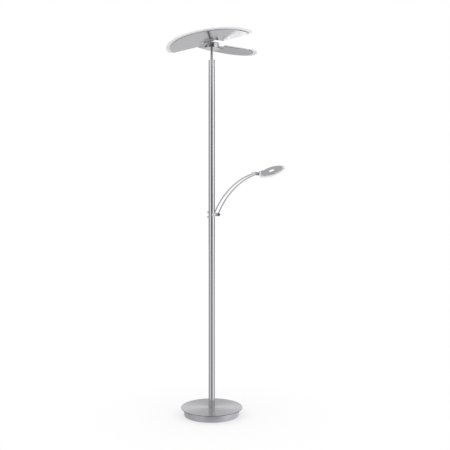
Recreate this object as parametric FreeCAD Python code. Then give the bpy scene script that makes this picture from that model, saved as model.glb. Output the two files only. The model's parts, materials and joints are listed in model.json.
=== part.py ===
import FreeCAD, Part
import math
import os

from FreeCAD import Placement, Rotation, Vector

os.makedirs("parts", exist_ok=True)

# Torchiere floor lamp with a reading light, in millimetres.
# +Z is up, +X is to the viewer's right and -Y is towards the viewer.
# The origin is the centre of the base on the floor.

# Clearances
FIT = 0.05            # radial clearance of a screwed, pushed or running fit
RUN_GAP = 0.1         # axial gap beside a face that turns
SEAT_GAP = 0.3        # gap between a round piece and what it lies beside

# Base
TOP_PLATE_R = 140.0
TOP_PLATE_T = 2.5
TOP_PLATE_EDGE = 0.6
SHELL_R = 126.0
SHELL_WALL = 1.5
SHELL_EDGE = 0.8
BASE_TOP_Z = 36.0
PAD_T = 2.0
PAD_INSET = 8.0       # edge of the foam sheet inside the shell's edge
PAD_HOLE_R = 4.5
COVER_T = 1.5
COVER_GAP = 0.4
WEIGHT_GAP = 1.5
WEIGHT_T = 21.0
BOSS_R = 6.0
BOSS_RING_R = 84.0
BOSS_COUNT = 3
COVER_SCREW_R = 2.0
COVER_SCREW_DEPTH = 7.0
COVER_SCREW_HEAD_R = 3.8
COVER_SCREW_HEAD_T = 1.4

# LED driver in a pocket of the weight
DRIVER_L = 92.0
DRIVER_W = 38.0
DRIVER_H = 15.0
DRIVER_Y = 60.0
DRIVER_EDGE = 2.0
POCKET_GAP = 1.0
POCKET_DEPTH = 17.0

# Mains cable inlet at the back of the base
INLET_Z = 18.0
INLET_BORE_R = 3.5
INLET_BODY_R = 6.0
INLET_FLANGE_R = 9.0
INLET_FLANGE_T = 2.5
INLET_NOSE_R = 6.5
INLET_NOSE_T = 5.0
INLET_NOSE_TAPER = 1.5
INLET_DEPTH = 12.0
INLET_NUT_AF = 16.0
INLET_NUT_T = 4.0
CHANNEL_W = 20.0
CHANNEL_H = 17.0

# Threaded tube that clamps the pole to the base
STUD_R = 5.0
STUD_BORE_R = 3.5
STUD_TOP_Z = 58.0
CLAMP_WASHER_R = 16.0
CLAMP_WASHER_T = 1.5
CLAMP_NUT_AF = 17.0
CLAMP_NUT_T = 5.0
STUD_END = 0.5

# Pole
POLE_R = 14.5
POLE_WALL = 1.5
POLE_JOINT_Z = 960.0
POLE_TOP_Z = 1615.0
JOINT_RING_T = 1.0
COUPLING_HALF = 22.0
COUPLING_BORE_R = 9.0
FOOT_PLUG_H = 24.0
CAP_T = 1.5
CAP_EDGE = 0.5
CAP_PLUG_H = 28.0

# Thin rod between the pole and the hub
NECK_L = 52.5
ROD_R = 5.5
ROD_BORE_R = 3.6
ROD_TENON_R = 4.6
ROD_TENON_L = 9.0
ROD_NUT_AF = 14.0
ROD_NUT_T = 4.0
ROD_CLAMP_R = 1.5
ROD_CLAMP_RECESS = 1.0

# Hub drum that carries both wings
HUB_R = 35.5
HUB_H = 24.0
HUB_WALL = 2.0
HUB_FLOOR = 2.5
HUB_LID_T = 2.0
HUB_EDGE = 0.8
HUB_POST_R = 4.0
HUB_POST_AT = 26.0
HUB_SCREW_R = 1.5
HUB_SCREW_DEPTH = 9.0
HUB_SCREW_HEAD_R = 2.8
HUB_SCREW_HEAD_T = 1.4
TERMINAL_L = 22.0
TERMINAL_W = 12.0
TERMINAL_H = 9.0
TERMINAL_X = -17.0
TERMINAL_WIRE_R = 1.6
TERMINAL_PITCH = 6.5

# Friction hinge of each wing
HEAD_YAW = -20.0      # turn of the split between the wings about the pole
HINGE_BOSS_R = 8.0
HINGE_BOSS_IN = 29.0
HINGE_BOSS_OUT = 38.0
HINGE_PIN_R = 3.0
HINGE_PIN_END = 23.0
HINGE_NUT_AF = 11.0
HINGE_NUT_T = 4.5
FRICTION_WASHER_T = 1.0
SPRING_WASHER_R = 6.0
SPRING_WASHER_T = 1.0
HINGE_HEAD_R = 5.5
HINGE_HEAD_T = 3.5
HINGE_HEAD_EDGE = 1.0

# Wing: half-round metal pan with an acrylic light panel on top
WING_R = 189.5
WING_LIFT = 8.4       # underside of the pan above the hinge axis
WING_GAP = 20.0       # width of the split between the two wings
WING_CORNER_R = 12.0
NOTCH_R = 56.0
NOTCH_CORNER_R = 3.0
PAN_T = 1.5
PAN_DEPTH = 3.5
PAN_LIP = 1.5
PANEL_OVERHANG = 18.0
PANEL_T = 4.0
PANEL_CORNER_R = 14.0
NEAR_TILT = 8.0       # right end up
FAR_TILT = -13.2      # right end down

# Bracket of each wing
BRACKET_T = 2.0
EAR_T = 2.5
EAR_HALF_W = 8.0
NECK_HALF_W = 12.0
FLANGE_HALF_W = 31.0
FLANGE_IN = 46.5
FLANGE_OUT = 67.0
FLANGE_CORNER_R = 4.0
WING_SCREW_AT = 24.0
WING_SCREW_OUT = 61.0
WING_SCREW_R = 1.5
WING_SCREW_HEAD_R = 3.0
WING_SCREW_HEAD_T = 1.8
WING_SCREW_HEAD_TAPER = 0.8
WING_NUT_AF = 6.0
WING_NUT_T = 1.2

# LED boards of the wings
BOARD_T = 0.8
BOARD_MARGIN = 9.0
BOARD_HOLE_R = 6.0
LED_L = 3.5
LED_W = 2.8
LED_T = 0.7
LED_PITCH = 20.0
LED_ROW_IN = 17.0     # straight row from the split edge
LED_ROW_ENDS = 22.0
LED_ARC_R = 165.0
LED_ARC_MARGIN = 14.0 # degrees kept free at each end of the arc

# Reading arm
ARM_YAW = -42.0       # direction of the arm about the pole
ARM_PIVOT_OUT = 27.0
ARM_PIVOT_Z = 912.0
ELBOW_OUT = 259.0
ELBOW_Z = 1087.5
ARM_ARC_R = 337.0
ARM_ROD_R = 3.0
ARM_ROD_AT = 13.7     # each rod from the arm's middle plane
BARREL_R = 7.5
BARREL_HALF = 8.0
INSULATOR_T = 1.0
INSULATOR_R = 6.9
KNUCKLE_L = 9.0
PIVOT_PIN_R = 2.5
PIVOT_CAP_T = 1.0
PIVOT_CAP_TIP_R = 4.5
PIVOT_CAP_TIP = 2.0
PIN_REACH = 2.0       # pin depth in an end cap
ROD_SOCKET = 5.0      # distance of a rod's end from its pivot axis
ARM_NECK_R = 6.0
ARM_STUD_R = 4.0
ARM_STUD_IN = 4.0
ARM_STUD_END = 1.0
ARM_NUT_R = 6.0

# Reading head
STEM_R = 1.75
STEM_Z = 1098.5
STEM_RISE = 60.0
STEM_BEND_R = 7.0
STEM_SOCKET = 3.5
SWIVEL_CAP_L = 5.0
END_SCREW_HEAD_R = 4.0
END_SCREW_HEAD_T = 1.6
HEAD_REACH = 70.5     # disc centre from the elbow axis
HEAD_ROLL = 28.0
STEM_CLEAR = 0.35     # panel's top below the stem
COVER_RING_R = 47.0
COVER_HOLE_R = 13.0
COVER_SHEET = 1.5
COVER_DEPTH = 3.5
COVER_LIP = 1.5
COVER_EDGE = 0.6
READING_PANEL_R = 57.0
READING_PANEL_T = 5.5
READING_PANEL_EDGE = 1.0
SWIVEL_BOSS_R = 3.2
SWIVEL_BOSS_L = 8.0
SWIVEL_BOSS_AT = 46.0
SWIVEL_BOSS_WALL = 1.0
SWIVEL_FOOT_L = 3.0   # foot under the cover's sheet
SWIVEL_FOOT_W = 9.0
READING_BOARD_IN = 16.0
READING_BOARD_OUT = 44.5
READING_LED_R = 30.0
READING_LED_COUNT = 12

# Rotary dimmers on the pole
MAIN_DIMMER_Z = 922.5
READING_DIMMER_Z = 901.0
DIMMER_BODY_X = 12.0
DIMMER_BODY_Y = 13.0
DIMMER_BODY_Z = 9.0
DIMMER_FACE = 9.0     # dimmer body's face from the pole axis
DIMMER_BUSH_R = 3.5
DIMMER_SHAFT_R = 2.0
DIMMER_SHAFT_IN = 5.0
KNOB_R = 5.5
KNOB_L = 7.0
KNOB_EDGE = 0.8
KNOB_BORE_DEPTH = 5.0

X_AXIS = Vector(1, 0, 0)
Y_AXIS = Vector(0, 1, 0)
Z_AXIS = Vector(0, 0, 1)


# Helpers
def save(name, shape):
    shape.exportStep(os.path.join("parts", name + ".step"))


def save_group(name, solids):
    save(name, Part.makeCompound(solids))


def rod(radius, start, end, axis=Z_AXIS, at=Vector(0, 0, 0)):
    """Round bar along an axis from one distance to another."""
    return Part.makeCylinder(radius, end - start, at + axis * start, axis)


def tube(outer, inner, start, end, axis=Z_AXIS, at=Vector(0, 0, 0)):
    return rod(outer, start, end, axis, at).cut(rod(inner, start, end, axis, at))


def cone(first_r, last_r, start, end, axis=Z_AXIS, at=Vector(0, 0, 0)):
    return Part.makeCone(first_r, last_r, end - start, at + axis * start, axis)


def hex_bar(across_flats, start, end, axis=Z_AXIS, at=Vector(0, 0, 0)):
    points = ring_of(6, across_flats / math.sqrt(3))
    outline = Part.makePolygon(points + points[:1])
    bar = Part.Face(outline).extrude(Vector(0, 0, end - start))
    bar.Placement = Placement(at + axis * start, Rotation(Z_AXIS, axis))
    return bar


def block(x_range, y_range, z_range):
    size = [high - low for low, high in (x_range, y_range, z_range)]
    return Part.makeBox(size[0], size[1], size[2], Vector(x_range[0], y_range[0], z_range[0]))


def rounded(shape, radius, keep):
    """Round the edges that a test picks."""
    return shape.makeFillet(radius, [edge for edge in shape.Edges if keep(edge)])


def is_upright(edge):
    return edge.Curve.TypeId == "Part::GeomLine" and abs(edge.tangentAt(edge.FirstParameter).z) > 0.9


def circle_at(edge, radius, along, distance):
    """True for a full circle of a radius at a distance along an axis."""
    if edge.Curve.TypeId != "Part::GeomCircle":
        return False
    same_radius = abs(edge.Curve.Radius - radius) < 1e-3
    return same_radius and abs(edge.CenterOfMass.dot(along) - distance) < 1e-3


def ring_of(count, radius, first=0.0):
    """Points spread evenly on a circle about the origin."""
    angles = [math.radians(first + 360.0 * i / count) for i in range(count)]
    return [Vector(radius * math.cos(a), radius * math.sin(a), 0) for a in angles]


def tidy(shape):
    return shape.removeSplitter()


# Heights in the base
shell_top = BASE_TOP_Z - TOP_PLATE_T
shell_bottom = PAD_T
cover_top = shell_bottom + COVER_T
weight_top = shell_top - SHELL_WALL
weight_bottom = weight_top - WEIGHT_T
weight_r = SHELL_R - SHELL_WALL - WEIGHT_GAP
cover_r = SHELL_R - SHELL_WALL - COVER_GAP
pole_bore = POLE_R - POLE_WALL


def base_top_plate():
    plate = rod(TOP_PLATE_R, shell_top, BASE_TOP_Z)
    plate = rounded(plate, TOP_PLATE_EDGE, lambda e: circle_at(e, TOP_PLATE_R, Z_AXIS, BASE_TOP_Z))
    return plate.cut(rod(STUD_R + FIT, shell_top, BASE_TOP_Z))


def base_shell():
    outer = rod(SHELL_R, shell_bottom, shell_top)
    outer = rounded(outer, SHELL_EDGE, lambda e: circle_at(e, SHELL_R, Z_AXIS, shell_top))
    shell = outer.cut(rod(SHELL_R - SHELL_WALL, shell_bottom, weight_top))
    shell = shell.cut(rod(STUD_R + FIT, weight_top, shell_top))
    return shell.cut(rod(INLET_BODY_R + FIT, 0, SHELL_R, Y_AXIS, Vector(0, 0, INLET_Z)))


def driver_box(gap, top_gap):
    half_l = DRIVER_L / 2 + gap
    half_w = DRIVER_W / 2 + gap
    top = weight_bottom + POCKET_DEPTH
    return block((-half_l, half_l), (DRIVER_Y - half_w, DRIVER_Y + half_w), (top - DRIVER_H - top_gap, top))


def base_weight():
    weight = rod(weight_r, weight_bottom, weight_top)
    for point in ring_of(BOSS_COUNT, BOSS_RING_R, -90):
        weight = weight.fuse(rod(BOSS_R, cover_top, weight_bottom, Z_AXIS, point))
    weight = weight.cut(rod(STUD_R + FIT, weight_bottom, weight_top))
    weight = weight.cut(driver_box(POCKET_GAP, POCKET_DEPTH - DRIVER_H))
    channel_top = weight_bottom + CHANNEL_H
    channel = block((-CHANNEL_W / 2, CHANNEL_W / 2), (DRIVER_Y, SHELL_R), (weight_bottom, channel_top))
    weight = weight.cut(channel)
    hole_top = cover_top + COVER_SCREW_DEPTH
    for point in ring_of(BOSS_COUNT, BOSS_RING_R, -90):
        weight = weight.cut(rod(COVER_SCREW_R + FIT, cover_top, hole_top, Z_AXIS, point))
    return tidy(weight)


def base_cover():
    cover = rod(cover_r, shell_bottom, cover_top)
    for point in ring_of(BOSS_COUNT, BOSS_RING_R, -90):
        cover = cover.cut(rod(COVER_SCREW_R + FIT, shell_bottom, cover_top, Z_AXIS, point))
    return cover


def base_cover_screws():
    screws = []
    for point in ring_of(BOSS_COUNT, BOSS_RING_R, -90):
        head = cone(COVER_SCREW_HEAD_R - COVER_SCREW_HEAD_T, COVER_SCREW_HEAD_R,
                    shell_bottom - COVER_SCREW_HEAD_T, shell_bottom, Z_AXIS, point)
        shank = rod(COVER_SCREW_R, shell_bottom, cover_top + COVER_SCREW_DEPTH - FIT, Z_AXIS, point)
        screws.append(tidy(head.fuse(shank)))
    return screws


def base_pad():
    """Foam sheet that the lamp stands on, with holes for the cover screws."""
    pad = rod(SHELL_R - PAD_INSET, 0, PAD_T)
    for point in ring_of(BOSS_COUNT, BOSS_RING_R, -90):
        pad = pad.cut(rod(PAD_HOLE_R, 0, PAD_T, Z_AXIS, point))
    return pad


def led_driver():
    return rounded(driver_box(0, 0), DRIVER_EDGE, is_upright)


def cable_inlet():
    at = Vector(0, 0, INLET_Z)
    seat = math.sqrt(SHELL_R ** 2 - INLET_FLANGE_R ** 2)
    flange_end = SHELL_R + INLET_FLANGE_T
    nose_end = flange_end + INLET_NOSE_T
    body = rod(INLET_BODY_R, SHELL_R - INLET_DEPTH, SHELL_R, Y_AXIS, at)
    flange = rod(INLET_FLANGE_R, seat, flange_end, Y_AXIS, at).cut(rod(SHELL_R, 0, BASE_TOP_Z))
    nose = cone(INLET_NOSE_R, INLET_NOSE_R - INLET_NOSE_TAPER, flange_end, nose_end, Y_AXIS, at)
    bore = rod(INLET_BORE_R, SHELL_R - INLET_DEPTH, nose_end, Y_AXIS, at)
    return tidy(body.fuse(flange).fuse(nose).cut(bore))


def cable_inlet_nut():
    at = Vector(0, 0, INLET_Z)
    face = math.sqrt((SHELL_R - SHELL_WALL) ** 2 - (INLET_NUT_AF / math.sqrt(3)) ** 2)
    nut = hex_bar(INLET_NUT_AF, face - INLET_NUT_T, face, Y_AXIS, at)
    return nut.cut(rod(INLET_BODY_R + FIT, face - INLET_NUT_T, face, Y_AXIS, at))


# Pieces that clamp the pole
washer_bottom = weight_bottom - CLAMP_WASHER_T
nut_bottom = washer_bottom - CLAMP_NUT_T


def base_stud():
    return tube(STUD_R, STUD_BORE_R, nut_bottom - STUD_END, STUD_TOP_Z)


def clamp_washer():
    return tube(CLAMP_WASHER_R, STUD_R + FIT, washer_bottom, weight_bottom)


def clamp_nut():
    nut = hex_bar(CLAMP_NUT_AF, nut_bottom, washer_bottom)
    return nut.cut(rod(STUD_R + FIT, nut_bottom, washer_bottom))


def pole_foot_plug():
    return tube(pole_bore - FIT, STUD_R + FIT, BASE_TOP_Z, BASE_TOP_Z + FOOT_PLUG_H)


# Pole
arm_axis = Rotation(Z_AXIS, ARM_YAW).multVec(X_AXIS)
arm_side = Rotation(Z_AXIS, ARM_YAW).multVec(Y_AXIS)
arm_pivot = arm_axis * ARM_PIVOT_OUT + Z_AXIS * ARM_PIVOT_Z
elbow = arm_axis * ELBOW_OUT + Z_AXIS * ELBOW_Z


def lower_pole():
    pole = tube(POLE_R, pole_bore, BASE_TOP_Z, POLE_JOINT_Z - JOINT_RING_T / 2)
    for height in (MAIN_DIMMER_Z, READING_DIMMER_Z):
        pole = pole.cut(rod(DIMMER_BUSH_R + FIT, 0, POLE_R, X_AXIS * -1, Z_AXIS * height))
    return pole.cut(rod(ARM_STUD_R + FIT, 0, POLE_R, arm_axis, Z_AXIS * ARM_PIVOT_Z))


def pole_coupling():
    joint = Z_AXIS * POLE_JOINT_Z
    insert = tube(pole_bore - FIT, COUPLING_BORE_R, -COUPLING_HALF, COUPLING_HALF, Z_AXIS, joint)
    ring = tube(POLE_R - FIT, COUPLING_BORE_R, -JOINT_RING_T / 2, JOINT_RING_T / 2, Z_AXIS, joint)
    return tidy(insert.fuse(ring))


def upper_pole():
    return tube(POLE_R, pole_bore, POLE_JOINT_Z + JOINT_RING_T / 2, POLE_TOP_Z - CAP_T)


hub_bottom = POLE_TOP_Z + NECK_L
cap_bottom = POLE_TOP_Z - CAP_T
plug_bottom = cap_bottom - CAP_PLUG_H
clamp_z = cap_bottom - CAP_PLUG_H / 2


def pole_cap():
    flange = rod(POLE_R, cap_bottom, POLE_TOP_Z)
    flange = rounded(flange, CAP_EDGE, lambda e: circle_at(e, POLE_R, Z_AXIS, POLE_TOP_Z))
    plug = rod(pole_bore - FIT, plug_bottom, cap_bottom)
    bore = rod(ROD_R + FIT, plug_bottom, POLE_TOP_Z)
    screw_hole = rod(ROD_CLAMP_R + FIT, 0, pole_bore, Y_AXIS, Z_AXIS * clamp_z)
    return tidy(flange.fuse(plug).cut(bore).cut(screw_hole))


def rod_clamp_screw():
    return rod(ROD_CLAMP_R, ROD_R, pole_bore - ROD_CLAMP_RECESS, Y_AXIS, Z_AXIS * clamp_z)


def neck_rod():
    top = hub_bottom + ROD_TENON_L
    shaft = rod(ROD_R, plug_bottom, hub_bottom)
    tenon = rod(ROD_TENON_R, hub_bottom, top)
    return tidy(shaft.fuse(tenon).cut(rod(ROD_BORE_R, plug_bottom, top)))


# Hub
hub_lid_z = hub_bottom + HUB_H - HUB_LID_T
hinge_z = hub_bottom + HUB_H / 2
head_turn = Rotation(Z_AXIS, HEAD_YAW)
split_axis = head_turn.multVec(X_AXIS)
hinge_axis = head_turn.multVec(Y_AXIS)
hinge_at = Z_AXIS * hinge_z
post_points = [split_axis * HUB_POST_AT, split_axis * -HUB_POST_AT]


def rod_nut():
    low = hub_bottom + HUB_FLOOR
    high = low + ROD_NUT_T
    return hex_bar(ROD_NUT_AF, low, high).cut(rod(ROD_TENON_R + FIT, low, high))


def hub_drum():
    drum = rod(HUB_R, hub_bottom, hub_lid_z)
    drum = rounded(drum, HUB_EDGE, lambda e: circle_at(e, HUB_R, Z_AXIS, hub_bottom))
    drum = drum.cut(rod(HUB_R - HUB_WALL, hub_bottom + HUB_FLOOR, hub_lid_z))
    for side in (hinge_axis, hinge_axis * -1):
        drum = drum.fuse(rod(HINGE_BOSS_R, HINGE_BOSS_IN, HINGE_BOSS_OUT, side, hinge_at))
    for point in post_points:
        drum = drum.fuse(rod(HUB_POST_R, hub_bottom + HUB_FLOOR, hub_lid_z, Z_AXIS, point))
        drum = drum.cut(rod(HUB_SCREW_R + FIT, hub_lid_z - HUB_SCREW_DEPTH, hub_lid_z, Z_AXIS, point))
    for side in (hinge_axis, hinge_axis * -1):
        drum = drum.cut(rod(HINGE_PIN_R + FIT, HINGE_BOSS_IN, HINGE_BOSS_OUT, side, hinge_at))
    return tidy(drum.cut(rod(ROD_TENON_R + FIT, hub_bottom, hub_bottom + HUB_FLOOR)))


def hub_lid():
    top = hub_bottom + HUB_H
    lid = rod(HUB_R, hub_lid_z, top)
    lid = rounded(lid, HUB_EDGE, lambda e: circle_at(e, HUB_R, Z_AXIS, top))
    for point in post_points:
        lid = lid.cut(rod(HUB_SCREW_R + FIT, hub_lid_z, top, Z_AXIS, point))
    return lid


def hub_lid_screws():
    top = hub_bottom + HUB_H
    screws = []
    for point in post_points:
        shank = rod(HUB_SCREW_R, hub_lid_z - HUB_SCREW_DEPTH + FIT, top, Z_AXIS, point)
        head = rod(HUB_SCREW_HEAD_R, top, top + HUB_SCREW_HEAD_T, Z_AXIS, point)
        screws.append(tidy(shank.fuse(head)))
    return screws


def terminal_block():
    floor = hub_bottom + HUB_FLOOR
    first = TERMINAL_X - TERMINAL_W / 2
    last = TERMINAL_X + TERMINAL_W / 2
    body = block((first, last), (-TERMINAL_L / 2, TERMINAL_L / 2), (floor, floor + TERMINAL_H))
    for i in (-1, 0, 1):
        centre = Vector(0, i * TERMINAL_PITCH, floor + TERMINAL_H / 2)
        body = body.cut(rod(TERMINAL_WIRE_R, first, last, X_AXIS, centre))
    body.Placement = Placement(Vector(), Rotation(Z_AXIS, HEAD_YAW + 90)).multiply(body.Placement)
    return body


# Wing hinge, one on each side of the hub. Distances run outwards from the pole axis.
washer_in = HINGE_BOSS_OUT
ear_in = washer_in + FRICTION_WASHER_T + RUN_GAP
ear_out = ear_in + EAR_T
spring_in = ear_out + RUN_GAP
head_in = spring_in + SPRING_WASHER_T


def hinge_pin(side):
    head_out = head_in + HINGE_HEAD_T
    edge_at = head_out - HINGE_HEAD_EDGE
    shank = rod(HINGE_PIN_R, HINGE_PIN_END, head_in, side, hinge_at)
    head = rod(HINGE_HEAD_R, head_in, edge_at, side, hinge_at)
    edge = cone(HINGE_HEAD_R, HINGE_HEAD_R - HINGE_HEAD_EDGE, edge_at, head_out, side, hinge_at)
    return tidy(shank.fuse(head).fuse(edge))


def hinge_nut(side):
    low = HINGE_BOSS_IN - HINGE_NUT_T
    nut = hex_bar(HINGE_NUT_AF, low, HINGE_BOSS_IN, side, hinge_at)
    return nut.cut(rod(HINGE_PIN_R + FIT, low, HINGE_BOSS_IN, side, hinge_at))


def friction_washer(side):
    washer_out = washer_in + FRICTION_WASHER_T
    return tube(HINGE_BOSS_R, HINGE_PIN_R + FIT, washer_in, washer_out, side, hinge_at)


def spring_washer(side):
    return tube(SPRING_WASHER_R, HINGE_PIN_R + FIT, spring_in, head_in, side, hinge_at)


# Wings are drawn level for the near side: split along X, outwards along -Y, hinge axis at Z = 0.
def place_wing(shape, tilt, turned):
    about_pole = HEAD_YAW + (180 if turned else 0)
    rise = tilt if turned else -tilt
    turn = Rotation(Z_AXIS, about_pole).multiply(Rotation(Y_AXIS, rise))
    moved = shape.copy()
    moved.Placement = Placement(hinge_at, turn).multiply(shape.Placement)
    return moved


def half_disc(radius, inset, corner_r, notch_corner_r, low, high):
    """Half-round blank with the notch for the hub, its corners rounded."""
    edge_y = -WING_GAP / 2 - inset
    disc = rod(radius, low, high)
    blank = disc.cut(block((-radius, radius), (edge_y, radius), (low, high)))
    blank = blank.cut(rod(NOTCH_R + inset, low, high))
    halfway = (radius + NOTCH_R) / 2
    blank = rounded(blank, corner_r, lambda e: is_upright(e) and abs(e.CenterOfMass.x) > halfway)
    return rounded(blank, notch_corner_r, lambda e: is_upright(e) and abs(e.CenterOfMass.x) < halfway
                   and abs(e.CenterOfMass.y - edge_y) < 1e-3)


pan_low = WING_LIFT
board_low = pan_low + PAN_T
panel_low = pan_low + PAN_DEPTH
screw_spots = [Vector(WING_SCREW_AT, -WING_SCREW_OUT, 0), Vector(-WING_SCREW_AT, -WING_SCREW_OUT, 0)]


def wing_pan():
    pan = half_disc(WING_R, 0, WING_CORNER_R, NOTCH_CORNER_R, pan_low, panel_low)
    corner_r = WING_CORNER_R - PAN_LIP
    notch_corner_r = NOTCH_CORNER_R - PAN_LIP
    pan = pan.cut(half_disc(WING_R - PAN_LIP, PAN_LIP, corner_r, notch_corner_r, board_low, panel_low))
    for spot in screw_spots:
        pan = pan.cut(rod(WING_SCREW_R + FIT, pan_low, board_low, Z_AXIS, spot))
    return pan


def wing_panel():
    panel_r = WING_R + PANEL_OVERHANG
    return half_disc(panel_r, 0, PANEL_CORNER_R, NOTCH_CORNER_R, panel_low, panel_low + PANEL_T)


def wing_board():
    top = board_low + BOARD_T
    board_r = WING_R - BOARD_MARGIN
    board = half_disc(board_r, BOARD_MARGIN, WING_CORNER_R, NOTCH_CORNER_R, board_low, top)
    for spot in screw_spots:
        board = board.cut(rod(BOARD_HOLE_R, board_low, top, Z_AXIS, spot))
    return board


def led_chip(x, y, angle):
    low = board_low + BOARD_T
    chip = block((-LED_L / 2, LED_L / 2), (-LED_W / 2, LED_W / 2), (low, low + LED_T))
    chip.Placement = Placement(Vector(x, y, 0), Rotation(Z_AXIS, angle)).multiply(chip.Placement)
    return chip


def wing_leds():
    """A straight row beside the split and an arc near the rim."""
    chips = []
    row_y = -WING_GAP / 2 - LED_ROW_IN
    first = NOTCH_R + LED_ROW_ENDS
    count = int((WING_R - LED_ROW_ENDS - first) / LED_PITCH) + 1
    for side in (-1, 1):
        for i in range(count):
            chips.append(led_chip(side * (first + i * LED_PITCH), row_y, 0))
    span = 180 - 2 * LED_ARC_MARGIN
    arc_count = int(math.radians(span) * LED_ARC_R / LED_PITCH)
    for i in range(arc_count + 1):
        angle = 180 + LED_ARC_MARGIN + span * i / arc_count
        a = math.radians(angle)
        chips.append(led_chip(LED_ARC_R * math.cos(a), LED_ARC_R * math.sin(a), angle + 90))
    return chips


def wing_bracket():
    """Ear on the hinge pin, bent outwards into a flange under the pan."""
    flange_low = pan_low - BRACKET_T
    ear = rod(EAR_HALF_W, ear_in, ear_out, Y_AXIS * -1)
    ear = ear.fuse(block((-EAR_HALF_W, EAR_HALF_W), (-ear_out, -ear_in), (0, pan_low)))
    neck = block((-NECK_HALF_W, NECK_HALF_W), (-FLANGE_OUT, -ear_in), (flange_low, pan_low))
    flange = block((-FLANGE_HALF_W, FLANGE_HALF_W), (-FLANGE_OUT, -FLANGE_IN), (flange_low, pan_low))
    flange = rounded(flange, FLANGE_CORNER_R, is_upright)
    bracket = ear.fuse(neck).fuse(flange)
    bracket = bracket.cut(rod(HINGE_PIN_R + FIT, ear_in, ear_out, Y_AXIS * -1))
    for spot in screw_spots:
        bracket = bracket.cut(rod(WING_SCREW_R + FIT, flange_low, pan_low, Z_AXIS, spot))
    return tidy(bracket)


def wing_screws():
    low = pan_low - BRACKET_T
    tip_r = WING_SCREW_HEAD_R - WING_SCREW_HEAD_TAPER
    screws = []
    for spot in screw_spots:
        head = cone(tip_r, WING_SCREW_HEAD_R, low - WING_SCREW_HEAD_T, low, Z_AXIS, spot)
        shank = rod(WING_SCREW_R, low, board_low + WING_NUT_T, Z_AXIS, spot)
        screws.append(tidy(head.fuse(shank)))
    return screws


def wing_nuts():
    top = board_low + WING_NUT_T
    nuts = []
    for spot in screw_spots:
        nut = hex_bar(WING_NUT_AF, board_low, top, Z_AXIS, spot)
        nuts.append(nut.cut(rod(WING_SCREW_R + FIT, board_low, top, Z_AXIS, spot)))
    return nuts


# Reading arm. Pieces of both pivots are drawn along the arm's side axis.
knuckle_in = BARREL_HALF + INSULATOR_T + RUN_GAP
knuckle_out = knuckle_in + KNUCKLE_L
chord = elbow - arm_pivot


def arc_centre():
    """Centre of the rods' arc in the arm's middle plane."""
    middle = (arm_pivot + elbow) * 0.5
    drop = math.sqrt(ARM_ARC_R ** 2 - (chord.Length / 2) ** 2)
    across = arm_side.cross(chord)
    across.normalize()
    if across.z > 0:
        across = across * -1
    return middle + across * drop


def pivot_barrel(point):
    return tube(BARREL_R, PIVOT_PIN_R + FIT, -BARREL_HALF, BARREL_HALF, arm_side, point)


def arm_bracket():
    """Barrel with its short neck and the stud that goes through the pole wall."""
    pole_side = Z_AXIS * ARM_PIVOT_Z
    neck = rod(ARM_NECK_R, 0, ARM_PIVOT_OUT, arm_axis, pole_side).cut(rod(POLE_R, 0, POLE_JOINT_Z))
    stud = rod(ARM_STUD_R, ARM_STUD_IN, ARM_PIVOT_OUT, arm_axis, pole_side)
    pin_hole = rod(PIVOT_PIN_R + FIT, -BARREL_HALF, BARREL_HALF, arm_side, arm_pivot)
    return tidy(pivot_barrel(arm_pivot).fuse(neck).fuse(stud).cut(pin_hole))


def arm_stud_nut():
    pole_side = Z_AXIS * ARM_PIVOT_Z
    nut = rod(ARM_NUT_R, ARM_STUD_IN + ARM_STUD_END, pole_bore, arm_axis, pole_side)
    nut = nut.common(rod(pole_bore, 0, POLE_JOINT_Z))
    return nut.cut(rod(ARM_STUD_R + FIT, 0, pole_bore, arm_axis, pole_side))


def insulators(point):
    outer_face = BARREL_HALF + INSULATOR_T
    return [tube(INSULATOR_R, PIVOT_PIN_R + FIT, BARREL_HALF, outer_face, side, point)
            for side in (arm_side, arm_side * -1)]


def arc_rod(offset, radius):
    """Curved round bar along the arm's arc, a little short of both pivot axes."""
    centre = arc_centre()
    end_turn = math.degrees(ROD_SOCKET / ARM_ARC_R)
    first_spoke = arm_pivot - centre
    last_spoke = elbow - centre
    sweep = math.degrees(first_spoke.getAngle(last_spoke))
    normal = first_spoke.cross(last_spoke)
    normal.normalize()
    spoke = Rotation(normal, end_turn).multVec(first_spoke)
    sideways = arm_side * offset
    disc = Part.Face(Part.Wire(Part.makeCircle(radius, centre + spoke + sideways, normal.cross(spoke))))
    return disc.revolve(centre + sideways, normal, sweep - 2 * end_turn)


def knuckle(point, side):
    """Round knuckle that takes a rod's end and the pivot pin."""
    body = tube(BARREL_R, PIVOT_PIN_R + FIT, knuckle_in, knuckle_out, arm_side * side, point)
    return body.cut(arc_rod(ARM_ROD_AT * side, ARM_ROD_R + FIT))


def arm_pin():
    reach = knuckle_out + PIN_REACH
    return rod(PIVOT_PIN_R, -reach, reach, arm_side, arm_pivot)


def end_cap(point, side):
    """Cap with a coned end, bored for the pin."""
    axis = arm_side * side
    tip_at = knuckle_out + PIVOT_CAP_T
    body = rod(BARREL_R, knuckle_out, tip_at, axis, point)
    tip = cone(BARREL_R, PIVOT_CAP_TIP_R, tip_at, tip_at + PIVOT_CAP_TIP, axis, point)
    pin_hole = rod(PIVOT_PIN_R + FIT, knuckle_out, knuckle_out + PIN_REACH, axis, point)
    return tidy(body.fuse(tip).cut(pin_hole))


swivel_in = knuckle_out + RUN_GAP
swivel_out = swivel_in + SWIVEL_CAP_L


def elbow_pin():
    """Pin through the elbow, with a flat head that keeps the turning cap on."""
    head_at = swivel_out + RUN_GAP
    shank = rod(PIVOT_PIN_R, -(knuckle_out + PIN_REACH), head_at, arm_side, elbow)
    head = rod(END_SCREW_HEAD_R, head_at, head_at + END_SCREW_HEAD_T, arm_side, elbow)
    return tidy(shank.fuse(head))


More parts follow.
